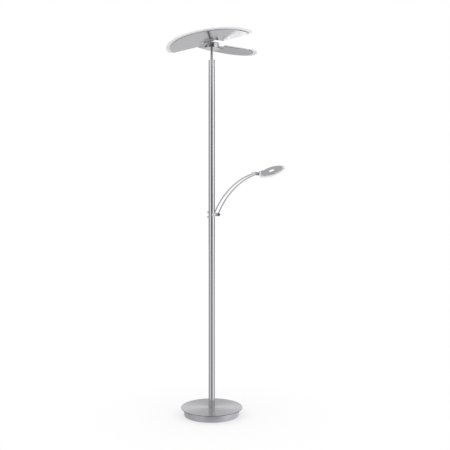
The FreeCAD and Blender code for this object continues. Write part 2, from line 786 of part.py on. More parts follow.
# Stem of the reading head, in the plane through the middle of the turning cap
stem_plane = elbow + arm_side * (swivel_in + SWIVEL_CAP_L / 2)
stem_height = STEM_Z - ELBOW_Z
stem_corner_out = stem_height / math.tan(math.radians(STEM_RISE))
stem_end_out = HEAD_REACH - SWIVEL_BOSS_AT + SWIVEL_BOSS_L / 2 - SWIVEL_BOSS_WALL - RUN_GAP


def stem_path():
    rise = Vector(math.cos(math.radians(STEM_RISE)), 0, math.sin(math.radians(STEM_RISE)))
    tangent_length = STEM_BEND_R * math.tan(math.radians(STEM_RISE / 2))
    corner = Vector(stem_corner_out, 0, stem_height)
    start = rise * STEM_SOCKET
    bend_start = corner - rise * tangent_length
    bend_end = corner + X_AXIS * tangent_length
    centre = bend_end - Z_AXIS * STEM_BEND_R
    half = math.radians(90 + STEM_RISE / 2)
    middle = centre + Vector(math.cos(half), 0, math.sin(half)) * STEM_BEND_R
    end = Vector(stem_end_out, 0, stem_height)
    pieces = [Part.LineSegment(start, bend_start), Part.Arc(bend_start, middle, bend_end),
              Part.LineSegment(bend_end, end)]
    return Part.Wire([piece.toShape() for piece in pieces]), start, rise


def place_stem(shape):
    moved = shape.copy()
    moved.Placement = Placement(stem_plane, Rotation(Z_AXIS, ARM_YAW)).multiply(shape.Placement)
    return moved


def swept_stem(radius):
    path, start, rise = stem_path()
    profile = Part.Wire(Part.makeCircle(radius, start, rise))
    return place_stem(path.makePipeShell([profile], True, False))


def swivel_cap():
    body = tube(BARREL_R, PIVOT_PIN_R + FIT, swivel_in, swivel_out, arm_side, elbow)
    _, start, rise = stem_path()
    socket = rod(STEM_R + FIT, 0, BARREL_R, rise, start)
    return body.cut(place_stem(socket))


# Reading head, drawn level: stem axis along X at Z = 0, disc centre under the origin.
head_at = stem_plane + arm_axis * HEAD_REACH + Z_AXIS * stem_height
head_turn_down = Rotation(Z_AXIS, ARM_YAW).multiply(Rotation(X_AXIS, HEAD_ROLL))
ring_low = -STEM_R - STEM_CLEAR
ring_top = ring_low + COVER_DEPTH
sheet_low = ring_top - COVER_SHEET
swivel_far = -SWIVEL_BOSS_AT - SWIVEL_BOSS_L / 2
swivel_near = -SWIVEL_BOSS_AT + SWIVEL_BOSS_L / 2


def place_head(shape):
    moved = shape.copy()
    moved.Placement = Placement(head_at, head_turn_down).multiply(shape.Placement)
    return moved


def swivel_space():
    """Room for the swivel boss, let into the cover's rim and the panel under it."""
    return rod(SWIVEL_BOSS_R + FIT, swivel_far - FIT, swivel_near + FIT, X_AXIS)


def foot_shape(clearance):
    y_half = SWIVEL_FOOT_W / 2 + clearance
    x_range = (swivel_near - SWIVEL_FOOT_L - clearance, swivel_near + clearance)
    return block(x_range, (-y_half, y_half), (ring_low, sheet_low))


def reading_cover():
    ring = tube(COVER_RING_R, COVER_HOLE_R, ring_low, ring_top)
    ring = rounded(ring, COVER_EDGE, lambda e: circle_at(e, COVER_RING_R, Z_AXIS, ring_top))
    hollow = tube(COVER_RING_R - COVER_LIP, COVER_HOLE_R + COVER_LIP, ring_low, sheet_low)
    return ring.cut(hollow).cut(swivel_space())


def reading_panel():
    low = ring_low - READING_PANEL_T
    panel = rod(READING_PANEL_R, low, ring_low)
    panel = rounded(panel, READING_PANEL_EDGE, lambda e: circle_at(e, READING_PANEL_R, Z_AXIS, low))
    return panel.cut(swivel_space())


def reading_board():
    board = tube(READING_BOARD_OUT, READING_BOARD_IN, sheet_low - BOARD_T, sheet_low)
    return board.cut(foot_shape(FIT)).cut(swivel_space())


def reading_leds():
    chips = []
    top = sheet_low - BOARD_T
    for i, point in enumerate(ring_of(READING_LED_COUNT, READING_LED_R)):
        chip = block((-LED_L / 2, LED_L / 2), (-LED_W / 2, LED_W / 2), (top - LED_T, top))
        turn = Rotation(Z_AXIS, 360.0 * i / READING_LED_COUNT)
        chip.Placement = Placement(point, turn).multiply(chip.Placement)
        chips.append(chip)
    return chips


def head_swivel_boss():
    """Boss that turns on the stem's end, held by its foot between the cover and the panel."""
    barrel = rod(SWIVEL_BOSS_R, swivel_far, swivel_near, X_AXIS)
    bore = rod(STEM_R + FIT, swivel_far, swivel_near - SWIVEL_BOSS_WALL, X_AXIS)
    return tidy(barrel.fuse(foot_shape(0)).cut(bore))


# Rotary dimmers
def dimmer_body(height):
    at = Z_AXIS * height
    low = height - DIMMER_BODY_Z / 2
    high = height + DIMMER_BODY_Z / 2
    across = (-DIMMER_BODY_Y / 2, DIMMER_BODY_Y / 2)
    body = block((-DIMMER_FACE, -DIMMER_FACE + DIMMER_BODY_X), across, (low, high))
    bush = rod(DIMMER_BUSH_R, DIMMER_FACE, POLE_R, X_AXIS * -1, at)
    bore = rod(DIMMER_SHAFT_R + FIT, DIMMER_SHAFT_IN - RUN_GAP, POLE_R, X_AXIS * -1, at)
    return tidy(body.fuse(bush).cut(bore))


knob_in = POLE_R + SEAT_GAP


def dimmer_shaft(height):
    return rod(DIMMER_SHAFT_R, DIMMER_SHAFT_IN, knob_in + KNOB_BORE_DEPTH, X_AXIS * -1, Z_AXIS * height)


def dimmer_knob(height):
    axis = X_AXIS * -1
    at = Z_AXIS * height
    edge_at = knob_in + KNOB_L - KNOB_EDGE
    knob = rod(KNOB_R, knob_in, edge_at, axis, at)
    knob = knob.fuse(cone(KNOB_R, KNOB_R - KNOB_EDGE, edge_at, knob_in + KNOB_L, axis, at))
    return tidy(knob.cut(rod(DIMMER_SHAFT_R + FIT, knob_in, knob_in + KNOB_BORE_DEPTH, axis, at)))


# Base pieces
save("base_top_plate", base_top_plate())
save("base_shell", base_shell())
save("base_weight", base_weight())
save("base_bottom_cover", base_cover())
save_group("base_cover_screws", base_cover_screws())
save("base_foot_pad", base_pad())
save("led_driver", led_driver())
save_group("cable_inlet", [cable_inlet(), cable_inlet_nut()])
save("base_stud_tube", base_stud())
save_group("base_clamp_nut", [clamp_nut(), clamp_washer()])

# Pole pieces
save("pole_foot_plug", pole_foot_plug())
save("lower_pole", lower_pole())
save("pole_coupling", pole_coupling())
save("upper_pole", upper_pole())
save("pole_top_cap", pole_cap())
save("rod_clamp_screw", rod_clamp_screw())
save("neck_rod", neck_rod())

# Hub pieces
save("neck_rod_nut", rod_nut())
save("hub_drum", hub_drum())
save("hub_lid", hub_lid())
save_group("hub_lid_screws", hub_lid_screws())
save("terminal_block", terminal_block())
sides = (hinge_axis * -1, hinge_axis)
save_group("wing_hinge_pins", [piece(side) for side in sides for piece in (hinge_pin, hinge_nut)])
save_group("wing_friction_washers", [friction_washer(side) for side in sides])
save_group("wing_spring_washers", [spring_washer(side) for side in sides])

# Wing pieces
for wing, tilt, turned in (("near", NEAR_TILT, False), ("far", FAR_TILT, True)):
    save(wing + "_wing_bracket", place_wing(wing_bracket(), tilt, turned))
    save(wing + "_wing_pan", place_wing(wing_pan(), tilt, turned))
    save(wing + "_wing_panel", place_wing(wing_panel(), tilt, turned))
    save(wing + "_wing_board", place_wing(wing_board(), tilt, turned))
    save_group(wing + "_wing_leds", [place_wing(chip, tilt, turned) for chip in wing_leds()])
    fasteners = wing_screws() + wing_nuts()
    save_group(wing + "_wing_screws", [place_wing(piece, tilt, turned) for piece in fasteners])

# Reading arm pieces
save("arm_bracket", arm_bracket())
save("arm_stud_nut", arm_stud_nut())
save_group("arm_insulators", insulators(arm_pivot))
save("arm_pivot_pin", arm_pin())
save_group("arm_knuckles", [knuckle(point, side) for point in (arm_pivot, elbow) for side in (-1, 1)])
save_group("arm_end_caps", [end_cap(arm_pivot, -1), end_cap(arm_pivot, 1), end_cap(elbow, -1)])
save_group("arm_rods", [arc_rod(offset, ARM_ROD_R) for offset in (-ARM_ROD_AT, ARM_ROD_AT)])
save("elbow_barrel", pivot_barrel(elbow))
save_group("elbow_insulators", insulators(elbow))
save("elbow_pin", elbow_pin())

# Reading head pieces
save("head_turning_cap", swivel_cap())
save("head_stem", swept_stem(STEM_R))
save("head_swivel_boss", place_head(head_swivel_boss()))
save("reading_cover", place_head(reading_cover()))
save("reading_panel", place_head(reading_panel()))
save("reading_board", place_head(reading_board()))
save_group("reading_leds", [place_head(chip) for chip in reading_leds()])

# Dimmers
save_group("dimmer_bodies", [dimmer_body(MAIN_DIMMER_Z), dimmer_body(READING_DIMMER_Z)])
for light, height in (("main", MAIN_DIMMER_Z), ("reading", READING_DIMMER_Z)):
    save(light + "_dimmer_shaft", dimmer_shaft(height))
    save(light + "_dimmer_knob", dimmer_knob(height))
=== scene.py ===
"""Torchiere floor lamp with a reading light, dressed for a plain studio picture.

All sizes are in metres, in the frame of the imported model: Z is up, X is to the viewer's right and
the viewer stands on the -Y side. The origin is the centre of the base on the floor.
"""

from __future__ import annotations

import json
import logging
import math
from contextlib import contextmanager
from dataclasses import dataclass, replace
from enum import Enum
from typing import Callable, Iterable, Iterator, Sequence

import bmesh
import bpy
from mathutils import Matrix, Vector

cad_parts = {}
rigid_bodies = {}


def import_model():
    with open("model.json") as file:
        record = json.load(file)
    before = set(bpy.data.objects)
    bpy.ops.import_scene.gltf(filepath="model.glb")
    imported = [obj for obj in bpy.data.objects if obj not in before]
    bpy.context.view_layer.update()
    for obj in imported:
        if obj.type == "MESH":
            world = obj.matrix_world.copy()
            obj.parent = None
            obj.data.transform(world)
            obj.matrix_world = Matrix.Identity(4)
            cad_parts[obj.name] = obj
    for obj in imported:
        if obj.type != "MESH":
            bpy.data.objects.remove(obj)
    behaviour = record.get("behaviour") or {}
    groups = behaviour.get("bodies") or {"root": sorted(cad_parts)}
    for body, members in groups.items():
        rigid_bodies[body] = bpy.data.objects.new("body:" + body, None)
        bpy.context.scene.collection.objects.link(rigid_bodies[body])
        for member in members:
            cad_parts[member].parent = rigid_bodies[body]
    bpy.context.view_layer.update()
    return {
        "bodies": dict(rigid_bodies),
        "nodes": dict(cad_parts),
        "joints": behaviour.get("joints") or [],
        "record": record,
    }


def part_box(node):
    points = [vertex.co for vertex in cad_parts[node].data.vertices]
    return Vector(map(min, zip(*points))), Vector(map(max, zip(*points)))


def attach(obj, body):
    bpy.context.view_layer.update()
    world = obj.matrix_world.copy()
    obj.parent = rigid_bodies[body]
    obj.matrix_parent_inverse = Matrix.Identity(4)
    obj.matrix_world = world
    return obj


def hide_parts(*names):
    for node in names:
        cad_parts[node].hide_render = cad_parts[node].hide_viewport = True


LOG = logging.getLogger("floor_lamp")

MM = 0.001
X_AXIS = Vector((1, 0, 0))
Y_AXIS = Vector((0, 1, 0))
Z_AXIS = Vector((0, 0, 1))
ORIGIN = Vector((0, 0, 0))
PURE_WHITE = (1.0, 1.0, 1.0, 1.0)

# Distance under which corners are one, angle from which an edge is sharp, angle up to which a face is
# flat, and part of a normal along an axis from which a face looks that way.
MERGE = 2e-6
SHARP_DEGREES = 30.0
FLAT_DEGREES = 0.5
FACING = 0.9

# Range that most of a noise lies in, and its detail.
NOISE_LOW = 0.3
NOISE_HIGH = 0.7
NOISE_DETAIL = 2.0

# Faces across an eased edge that is only broken, and across one whose curve shows.
CHAMFER = 1
ROUNDING = 3

# Sides of turned screws and of nuts, and the width of the easing on small fasteners.
SCREW_SIDES = 32
HEXAGON = 6
SCREW_EDGE = 0.1 * MM

Ring = tuple[float, float]
Corner = tuple[float, float, float]
Color = tuple[float, float, float]
Socket = bpy.types.NodeSocket


class Body(str, Enum):
    """Moving bodies of the lamp."""

    STAND = "stand"
    NEAR_WING = "near_wing"
    FAR_WING = "far_wing"
    ARM = "reading_arm"
    HEAD_TURN = "head_turn"
    HEAD = "reading_head"
    MAIN_DIMMER = "main_dimmer"
    READING_DIMMER = "reading_dimmer"


class Slot(str, Enum):
    """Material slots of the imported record."""

    BRUSHED = "brushed_nickel"
    POLISHED = "polished_nickel"
    BRIGHT = "bright_ring"
    SATIN = "satin_aluminium"
    ACRYLIC = "satin_acrylic"
    IRON = "cast_iron"
    SHEET = "sheet_steel"
    PLATED = "plated_steel"
    BLACK = "black_plastic"
    WHITE = "white_plastic"
    BOARD = "white_board"
    LED = "led"
    FOAM = "black_foam"


class Grain(Enum):
    """Ways in which a metal surface is brushed."""

    RINGS = "rings round an axis"
    ALONG = "lines along an axis"


class Deed(Enum):
    """What one work does to another, in Blender's words."""

    CUT = "DIFFERENCE"
    FUSE = "UNION"


def at(point: Vector, axis: Vector = Z_AXIS) -> Matrix:
    """Place for a piece drawn about Z, so that its Z lies along an axis.

    Args:
        point: Where the drawing's origin goes.
        axis: Direction that the drawing's Z axis takes.

    Returns:
        The placing matrix.
    """
    return Matrix.Translation(point) @ axis.to_track_quat("Z", "Y").to_matrix().to_4x4()


def hexagon_r(across: float) -> float:
    """Radius of a hexagon's corners, from its size across the flats."""
    return across / math.sqrt(3)


def ring_profile(inner: float, outer: float, low: float, high: float) -> list[Ring]:
    """Closed profile of a ring or a tube between two radii and two heights."""
    return [(inner, low), (outer, low), (outer, high), (inner, high), (inner, low)]


class Graph:
    """Short way of writing shader nodes."""

    def __init__(self, tree: bpy.types.NodeTree) -> None:
        """Take a node tree to write in."""
        self.nodes = tree.nodes
        self.links = tree.links

    def node(self, kind: str, inputs: dict[str | int, object] | None = None,
             **settings: object) -> bpy.types.Node:
        """Add a node.

        Args:
            kind: Node type without its ShaderNode prefix.
            inputs: Values or output sockets for its inputs.
            settings: Properties of the node.

        Returns:
            The new node.
        """
        made = self.nodes.new("ShaderNode" + kind)
        for key, value in settings.items():
            setattr(made, key, value)
        for key, value in (inputs or {}).items():
            self.feed(made.inputs[key], value)
        return made

    def feed(self, socket: Socket, value: object) -> None:
        """Link an output to a socket, or set the socket's own value.

        Args:
            socket: Input to feed.
            value: Output, or value of the input's own type.
        """
        if isinstance(value, Socket):
            self.links.new(value, socket)
        else:
            socket.default_value = value

    def math(self, operation: str, first: object, second: object = 0.0) -> Socket:
        """Result of a math node on two values or outputs."""
        return self.node("Math", {0: first, 1: second}, operation=operation).outputs[0]

    def blend(self, factor: object, first: object, second: object) -> Socket:
        """Colour between two colours or outputs.

        Args:
            factor: 0 for the first and 1 for the second.
            first: Colour or output.
            second: Colour or output.

        Returns:
            Colour output.
        """
        made = self.node("Mix", {0: factor}, data_type="RGBA")
        for socket, value in zip([s for s in made.inputs if s.type == "RGBA"], (first, second)):
            self.feed(socket, value)
        return next(s for s in made.outputs if s.type == "RGBA")

    def length(self, vector: Socket) -> Socket:
        """Length of a vector."""
        return self.node("VectorMath", {0: vector}, operation="LENGTH").outputs["Value"]

    def remap(self, value: Socket, low: float, high: float, bottom: float = 0.0, top: float = 1.0) -> Socket:
        """Value taken from one range to another, and kept within it."""
        ends = {"From Min": low, "From Max": high, "To Min": bottom, "To Max": top}
        return self.node("MapRange", {"Value": value, **ends}).outputs[0]

    def ramp(self, value: object, stops: Sequence[tuple[float, Color]]) -> Socket:
        """Colour ramp over a value.

        Args:
            value: Value or output that picks the colour.
            stops: Place and colour of each stop, in rising order.

        Returns:
            Colour output.
        """
        made = self.node("ValToRGB", {"Fac": value})
        elements = made.color_ramp.elements
        while len(elements) < len(stops):
            elements.new(0.5)
        for element, (place, color) in zip(elements, stops):
            element.position = place
            element.color = (*color, 1.0)
        return made.outputs["Color"]


class Surface(Graph):
    """Nodes of a new material with one shader."""

    def __init__(self, name: str) -> None:
        """Start the material.

        Args:
            name: Name of the material.
        """
        self.material = bpy.data.materials.new(name)
        self.material.use_nodes = True
        super().__init__(self.material.node_tree)
        self.shader = self.nodes["Principled BSDF"]
        self.output = self.nodes["Material Output"]

    def local(self, place: Matrix) -> Socket:
        """Coordinates in a drawing's own frame.

        Args:
            place: Matrix that took the drawing to where it is in the lamp.

        Returns:
            Vector output in metres.
        """
        back = place.inverted()
        coords = self.node("TexCoord").outputs["Object"]
        mapping = self.node("Mapping", {"Vector": coords}, vector_type="POINT")
        mapping.inputs["Location"].default_value = back.to_translation()
        mapping.inputs["Rotation"].default_value = back.to_euler()
        return mapping.outputs[0]

    def spokes(self, parts: bpy.types.NodeOutputs) -> Socket:
        """Vector from the drawing's Z axis."""
        return self.node("CombineXYZ", {"X": parts["X"], "Y": parts["Y"], "Z": 0.0}).outputs[0]

    def noise(self, vector: Socket, scale: float) -> Socket:
        """Noise over a place."""
        inputs = {"Vector": vector, "Scale": scale, "Detail": NOISE_DETAIL}
        return self.node("TexNoise", inputs).outputs["Fac"]

    def toned(self, noise: Socket, color: Color, tone: float) -> Socket:
        """Colour that a noise makes a little darker or paler.

        Args:
            noise: Output of the noise.
            color: Colour in the middle.
            tone: Share by which it gets darker and paler.

        Returns:
            Colour output.
        """
        dark = tuple(c * (1 - tone) for c in color)
        light = tuple(min(1.0, c * (1 + tone)) for c in color)
        return self.ramp(noise, ((NOISE_LOW, dark), (NOISE_HIGH, light)))

    def bumps(self, height: Socket, strength: float, distance: float) -> Socket:
        """Normal of a surface with small bumps."""
        return self.node("Bump", {"Height": height, "Strength": strength, "Distance": distance}).outputs[0]

    def finish(self, inputs: dict[str, object]) -> bpy.types.Material:
        """Feed the shader and give the material.

        Args:
            inputs: Values or outputs, by the names of the shader's inputs.

        Returns:
            The material.
        """
        for name, value in inputs.items():
            self.feed(self.shader.inputs[name], value)
        return self.material


@dataclass(frozen=True)
class Metal:
    """Metal with a fine grain, a little uneven in tone.

    Fields give the colour, the roughness and its spread, how far reflections are drawn out across
    the grain, the grain's pitch, the unevenness of the tone, how much of it is bare metal, and the
    height under which it has only a share of its colour, which is painted shade. The last ones are how fast
    the grain changes along its streaks, the streaks' share in the unevenness, the scale of the clouds
    that have the rest of it, and how far the way across rings and across lines leans off their plane.
    """

    name: str
    color: Color
    roughness: float
    spread: float = 0.04
    stretch: float = 0.0
    grain: Grain = Grain.RINGS
    pitch: float = 0.0006
    tone: float = 0.04
    metallic: float = 1.0
    painted_shade_below: float = 0.0
    painted_shade_share: float = 0.3
    streak: float = 0.02
    streak_share: float = 0.6
    cloud_scale: float = 9.0
    ring_lean: float = 0.02
    line_lean: float = 0.5

    def material(self, place: Matrix = Matrix.Identity(4)) -> bpy.types.Material:
        """Make the material.

        Args:
            place: Matrix whose Z axis is the axis of the grain's rings, or whose X axis is the way of
                its lines.

        Returns:
            The material.
        """
        graph = Surface(self.name)
        local = graph.local(place)
        parts = graph.node("SeparateXYZ", {0: local}).outputs
        spokes = graph.spokes(parts)
        fine = 1.0 / self.pitch
        if self.grain is Grain.RINGS:
            lanes = ((graph.length(spokes), fine), (parts["Z"], fine), (parts["X"], fine * self.streak))
        else:
            lanes = ((parts["X"], fine * self.streak), (parts["Y"], fine), (parts["Z"], fine))
        scaled = [graph.math("MULTIPLY", way, scale) for way, scale in lanes]
        streaks = graph.noise(graph.node("CombineXYZ", dict(zip("XYZ", scaled))).outputs[0], 1.0)
        clouds = graph.noise(local, self.cloud_scale)
        mixed = graph.math("ADD", graph.math("MULTIPLY", streaks, self.streak_share),
                           graph.math("MULTIPLY", clouds, 1 - self.streak_share))
        rough = graph.remap(mixed, NOISE_LOW, NOISE_HIGH, self.roughness - self.spread,
                            self.roughness + self.spread)
        tint = graph.toned(mixed, self.color, self.tone)
        # Painted shade: below a set height the colour drops to a share of itself.
        if self.painted_shade_below:
            low = graph.math("LESS_THAN", parts["Z"], self.painted_shade_below)
            tint = graph.blend(low, tint, (*(c * self.painted_shade_share for c in self.color), 1.0))
        inputs = {"Roughness": rough, "Base Color": tint, "Metallic": self.metallic}
        if self.stretch:
            inputs["Anisotropic"] = self.stretch
            inputs["Tangent"] = self.across(graph, place, spokes)
        return graph.finish(inputs)

    def across(self, graph: Surface, place: Matrix, spokes: Socket) -> Socket:
        """Direction across the grain, in world space.

        Args:
            graph: Material's nodes.
            place: Matrix of the grain.
            spokes: Vector from the axis in the drawing's frame.

        Returns:
            Vector output.
        """
        if self.grain is Grain.RINGS:
            lean = (0.0, 0.0, self.ring_lean)
            ahead = graph.node("VectorMath", {0: spokes, 1: lean}, operation="ADD").outputs[0]
        else:
            ahead = graph.node("CombineXYZ", {"X": 0.0, "Y": 1.0, "Z": self.line_lean}).outputs[0]
        mapping = graph.node("Mapping", {"Vector": ahead}, vector_type="VECTOR")
        mapping.inputs["Rotation"].default_value = place.to_euler()
        world = graph.node("VectorTransform", {0: mapping.outputs[0]}, vector_type="VECTOR",
                           convert_from="OBJECT", convert_to="WORLD")
        return world.outputs[0]


@dataclass(frozen=True)
class Plain:
    """Moulded, painted or foamed surface with a fine grain."""

    name: str
    color: Color
    roughness: float
    grain: float = 0.0008
    bump: float = 0.1
    tone: float = 0.05

    def material(self) -> bpy.types.Material:
        """Make the material.

        Returns:
            The material.
        """
        graph = Surface(self.name)
        noise = graph.noise(graph.node("TexCoord").outputs["Object"], 1.0 / self.grain)
        tint = graph.toned(noise, self.color, self.tone)
        return graph.finish({"Base Color": tint, "Roughness": self.roughness,
                             "Normal": graph.bumps(noise, self.bump, self.grain)})


@dataclass(frozen=True)
class Lights:
    """Row of LEDs behind a satin panel, straight or bent round the axis.

    A straight row lies at a distance beside the split, from first to last on both sides. A bent row
    has its own radius, and its pitch is an angle.
    """

    at: float
    pitch: float
    first: float
    last: float
    bent: bool


@dataclass(frozen=True)
class Glow:
    """Satin acrylic that its LEDs light up on one face, brighter over each of them.

    The eye sees the lit face softened, so that it stands out from the white round it, and the metal
    beside it reflects its full light. Fields give the colour and the roughness, the light of the face
    and of its spots, the spots' spread, the rows, whether the upper face is lit, the round window in
    the middle and its light, the spots' light for the eye, and the depth of the lit skin. The last ones
    are the colour of the light, the speckles' scale and tone, the bumps' strength and height, and the
    refraction.
    """

    name: str
    color: Color
    roughness: float
    level: float
    spot_level: float
    spread: float
    rows: tuple[Lights, ...]
    up: bool = True
    window: float = 0.0
    window_level: float = 0.0
    eye_spot: float = 0.22
    skin: float = 0.4 * MM
    light: Color = (1.0, 0.99, 0.97)
    speckle_scale: float = 1400.0
    speckle_from: float = 0.35
    speckle_to: float = 0.65
    speckle_share: float = 0.975
    bump: float = 0.06
    bump_height: float = 0.4 * MM
    refraction: float = 1.49

    def material(self, place: Matrix, face: float) -> bpy.types.Material:
        """Make the material.

        Args:
            place: Matrix that took the drawing to its place.
            face: Height of the lit face in the drawing.

        Returns:
            The material.
        """
        graph = Surface(self.name)
        local = graph.local(place)
        parts = graph.node("SeparateXYZ", {0: local}).outputs
        radius = graph.length(graph.spokes(parts))
        total = 0.0
        for row in self.rows:
            total = graph.math("ADD", total, self.spots(graph, parts, radius, row))
        around = graph.math("SUBTRACT", 1.0, graph.node("LightPath").outputs["Is Camera Ray"])
        more = graph.math("MULTIPLY", around, self.spot_level - self.eye_spot)
        strength = graph.math("ADD", graph.math("MULTIPLY", total, graph.math("ADD", more, self.eye_spot)),
                              graph.math("MULTIPLY", around, self.level))
        if self.up:
            lit = graph.math("GREATER_THAN", parts["Z"], face - self.skin)
        else:
            lit = graph.math("LESS_THAN", parts["Z"], face + self.skin)
        glow = graph.math("MULTIPLY", strength, lit)
        if self.window:
            here = graph.math("LESS_THAN", radius, self.window)
            glow = graph.math("MAXIMUM", glow, graph.math("MULTIPLY", here, self.window_level))
        speckle = graph.noise(local, self.speckle_scale)
        shade = tuple(c * self.speckle_share for c in self.color)
        tint = graph.ramp(speckle, ((self.speckle_from, shade), (self.speckle_to, self.color)))
        return graph.finish({"Base Color": tint, "Roughness": self.roughness, "IOR": self.refraction,
                             "Emission Color": (*self.light, 1.0), "Emission Strength": glow,
                             "Normal": graph.bumps(speckle, self.bump, self.bump_height)})

    def hump(self, graph: Graph, first: Socket, second: Socket) -> Socket:
        """Soft round spot, 1 where both distances are nought."""
        square = graph.math("ADD", graph.math("POWER", first, 2.0), graph.math("POWER", second, 2.0))
        return graph.math("POWER", math.e, graph.math("DIVIDE", square, -self.spread ** 2))

    def spots(self, graph: Graph, parts: bpy.types.NodeOutputs, radius: Socket, row: Lights) -> Socket:
        """Spots over a row bent round the axis, or over a straight row and its mirror image.

        Args:
            graph: Nodes to write in.
            parts: Place in the drawing.
            radius: Distance from the axis.
            row: The row.

        Returns:
            Value output, up to 1 over each LED.
        """
        first = row.first - row.pitch / 2
        last = row.last + row.pitch / 2
        if row.bent:
            along = graph.math("ARCTAN2", *(graph.math("MULTIPLY", parts[name], -1.0) for name in "YX"))
        else:
            along = graph.math("ABSOLUTE", parts["X"])
        step = graph.math("DIVIDE", graph.math("SUBTRACT", along, first), row.pitch)
        offset = graph.math("MULTIPLY", graph.math("SUBTRACT", graph.math("FRACT", step), 0.5), row.pitch)
        if row.bent:
            offset = graph.math("MULTIPLY", offset, radius)
        beside = graph.math("SUBTRACT", radius if row.bent else parts["Y"], row.at)
        inside = graph.math("MULTIPLY", graph.math("GREATER_THAN", along, first),
                            graph.math("LESS_THAN", along, last))
        return graph.math("MULTIPLY", self.hump(graph, offset, beside), inside)


BRUSHED = Metal("brushed_nickel", (0.545, 0.545, 0.56), 0.30, stretch=0.75, tone=0.08)
DRUM = Metal("drum_nickel", (0.44, 0.44, 0.47), 0.30, stretch=0.6, tone=0.04)
POLE_METAL = Metal("pole_nickel", (0.60, 0.60, 0.62), 0.13, spread=0.02, stretch=0.5, pitch=0.0004, tone=0.02)
POLISHED = Metal("polished_nickel", (0.62, 0.62, 0.63), 0.10, spread=0.02, tone=0.03)
ARM_METAL = Metal("arm_nickel", (0.60, 0.60, 0.62), 0.16, spread=0.02, tone=0.03)
# Painted shade: a dark copy of the arm's nickel for the shaded knuckle and cap of the pole's pivot.
PAINTED_SHADE_METAL = Metal("painted_shade_nickel", (0.13, 0.13, 0.14), 0.22, spread=0.02, tone=0.03)
BRIGHT = Metal("bright_ring", (0.93, 0.93, 0.94), 0.32, spread=0.02, tone=0.02)
SATIN = Metal("satin_aluminium", (0.465, 0.46, 0.48), 0.16, spread=0.02, stretch=0.8, grain=Grain.ALONG,
              pitch=0.0009, tone=0.02)
HUB_METAL = Metal("hub_nickel", (0.50, 0.50, 0.51), 0.12, spread=0.02, tone=0.03)
ROD_METAL = Metal("rod_nickel", (0.40, 0.40, 0.41), 0.14, spread=0.02, tone=0.03)
COVER_METAL = Metal("cover_aluminium", (0.60, 0.59, 0.61), 0.2, spread=0.02, tone=0.02)
KNOB_METAL = Metal("knob_aluminium", (0.84, 0.84, 0.85), 0.35, spread=0.03, tone=0.03, metallic=0.3)
# Painted light: a lighter, partly matt copy of the arm's nickel for the lit knuckles and caps on one side of
# each pivot.
PAINTED_LIGHT_METAL = Metal("painted_light_nickel", (0.75, 0.75, 0.76), 0.28, spread=0.03, tone=0.03, metallic=0.5)
SHEET = Metal("sheet_steel", (0.42, 0.42, 0.43), 0.35, tone=0.1)
PLATED = Metal("plated_steel", (0.55, 0.55, 0.56), 0.25, tone=0.08)
PIN = Metal("pin_steel", (0.45, 0.45, 0.46), 0.18, tone=0.05)
IRON = Plain("cast_iron", (0.09, 0.09, 0.095), 0.7, grain=0.0015, bump=0.4, tone=0.2)
BLACK = Plain("black_plastic", (0.02, 0.02, 0.022), 0.4)
WHITE = Plain("white_plastic", (0.78, 0.78, 0.76), 0.4, tone=0.02)
BOARD = Plain("white_board", (0.82, 0.82, 0.80), 0.5, tone=0.02)
LED = Plain("led_lens", (0.93, 0.84, 0.45), 0.2, tone=0.03)
FOAM = Plain("black_foam", (0.03, 0.03, 0.032), 0.9, grain=0.0012, bump=0.5, tone=0.3)
ACRYLIC = Plain("satin_acrylic", (0.80, 0.80, 0.81), 0.35, grain=0.002, bump=0.0, tone=0.01)

WING_ROWS = (
    Lights(at=-27 * MM, pitch=20 * MM, first=78 * MM, last=158 * MM, bent=False),
    Lights(at=165 * MM, pitch=math.radians(152 / 21), first=math.radians(14), last=math.radians(166),
           bent=True),
)
READING_ROWS = (
    Lights(at=30 * MM, pitch=math.radians(30), first=math.radians(-180), last=math.radians(180), bent=True),
)
WING_GLOW = Glow("wing_acrylic", (0.78, 0.78, 0.80), 0.3, level=0.75, spot_level=0.9, spread=8 * MM,
                 rows=WING_ROWS)
READING_GLOW = Glow("reading_acrylic", (0.80, 0.80, 0.81), 0.3, level=0.25, spot_level=0.5, spread=7 * MM,
                    rows=READING_ROWS, up=False, window=12.9 * MM, window_level=0.5)

CAD_FINISH: dict[str, Metal | Plain] = {
    Slot.BRUSHED: BRUSHED,
    Slot.POLISHED: POLISHED,
    Slot.BRIGHT: BRIGHT,
    Slot.SATIN: SATIN,
    Slot.ACRYLIC: ACRYLIC,
    Slot.IRON: IRON,
    Slot.SHEET: SHEET,
    Slot.PLATED: PLATED,
    Slot.BLACK: BLACK,
    Slot.WHITE: WHITE,
    Slot.BOARD: BOARD,
    Slot.LED: LED,
    Slot.FOAM: FOAM,
}


def dress_nodes(frame: dict) -> None:
    """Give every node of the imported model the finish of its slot.

    Args:
        frame: The loaded frame.
    """
    made = {slot: finish.material() for slot, finish in CAD_FINISH.items()}
    slot_of = {row["node"]: row["material_slot"] for row in frame["record"]["subparts"]}
    for name, node in frame["nodes"].items():
        node.data.materials.clear()
        node.data.materials.append(made[Slot(slot_of[name])])


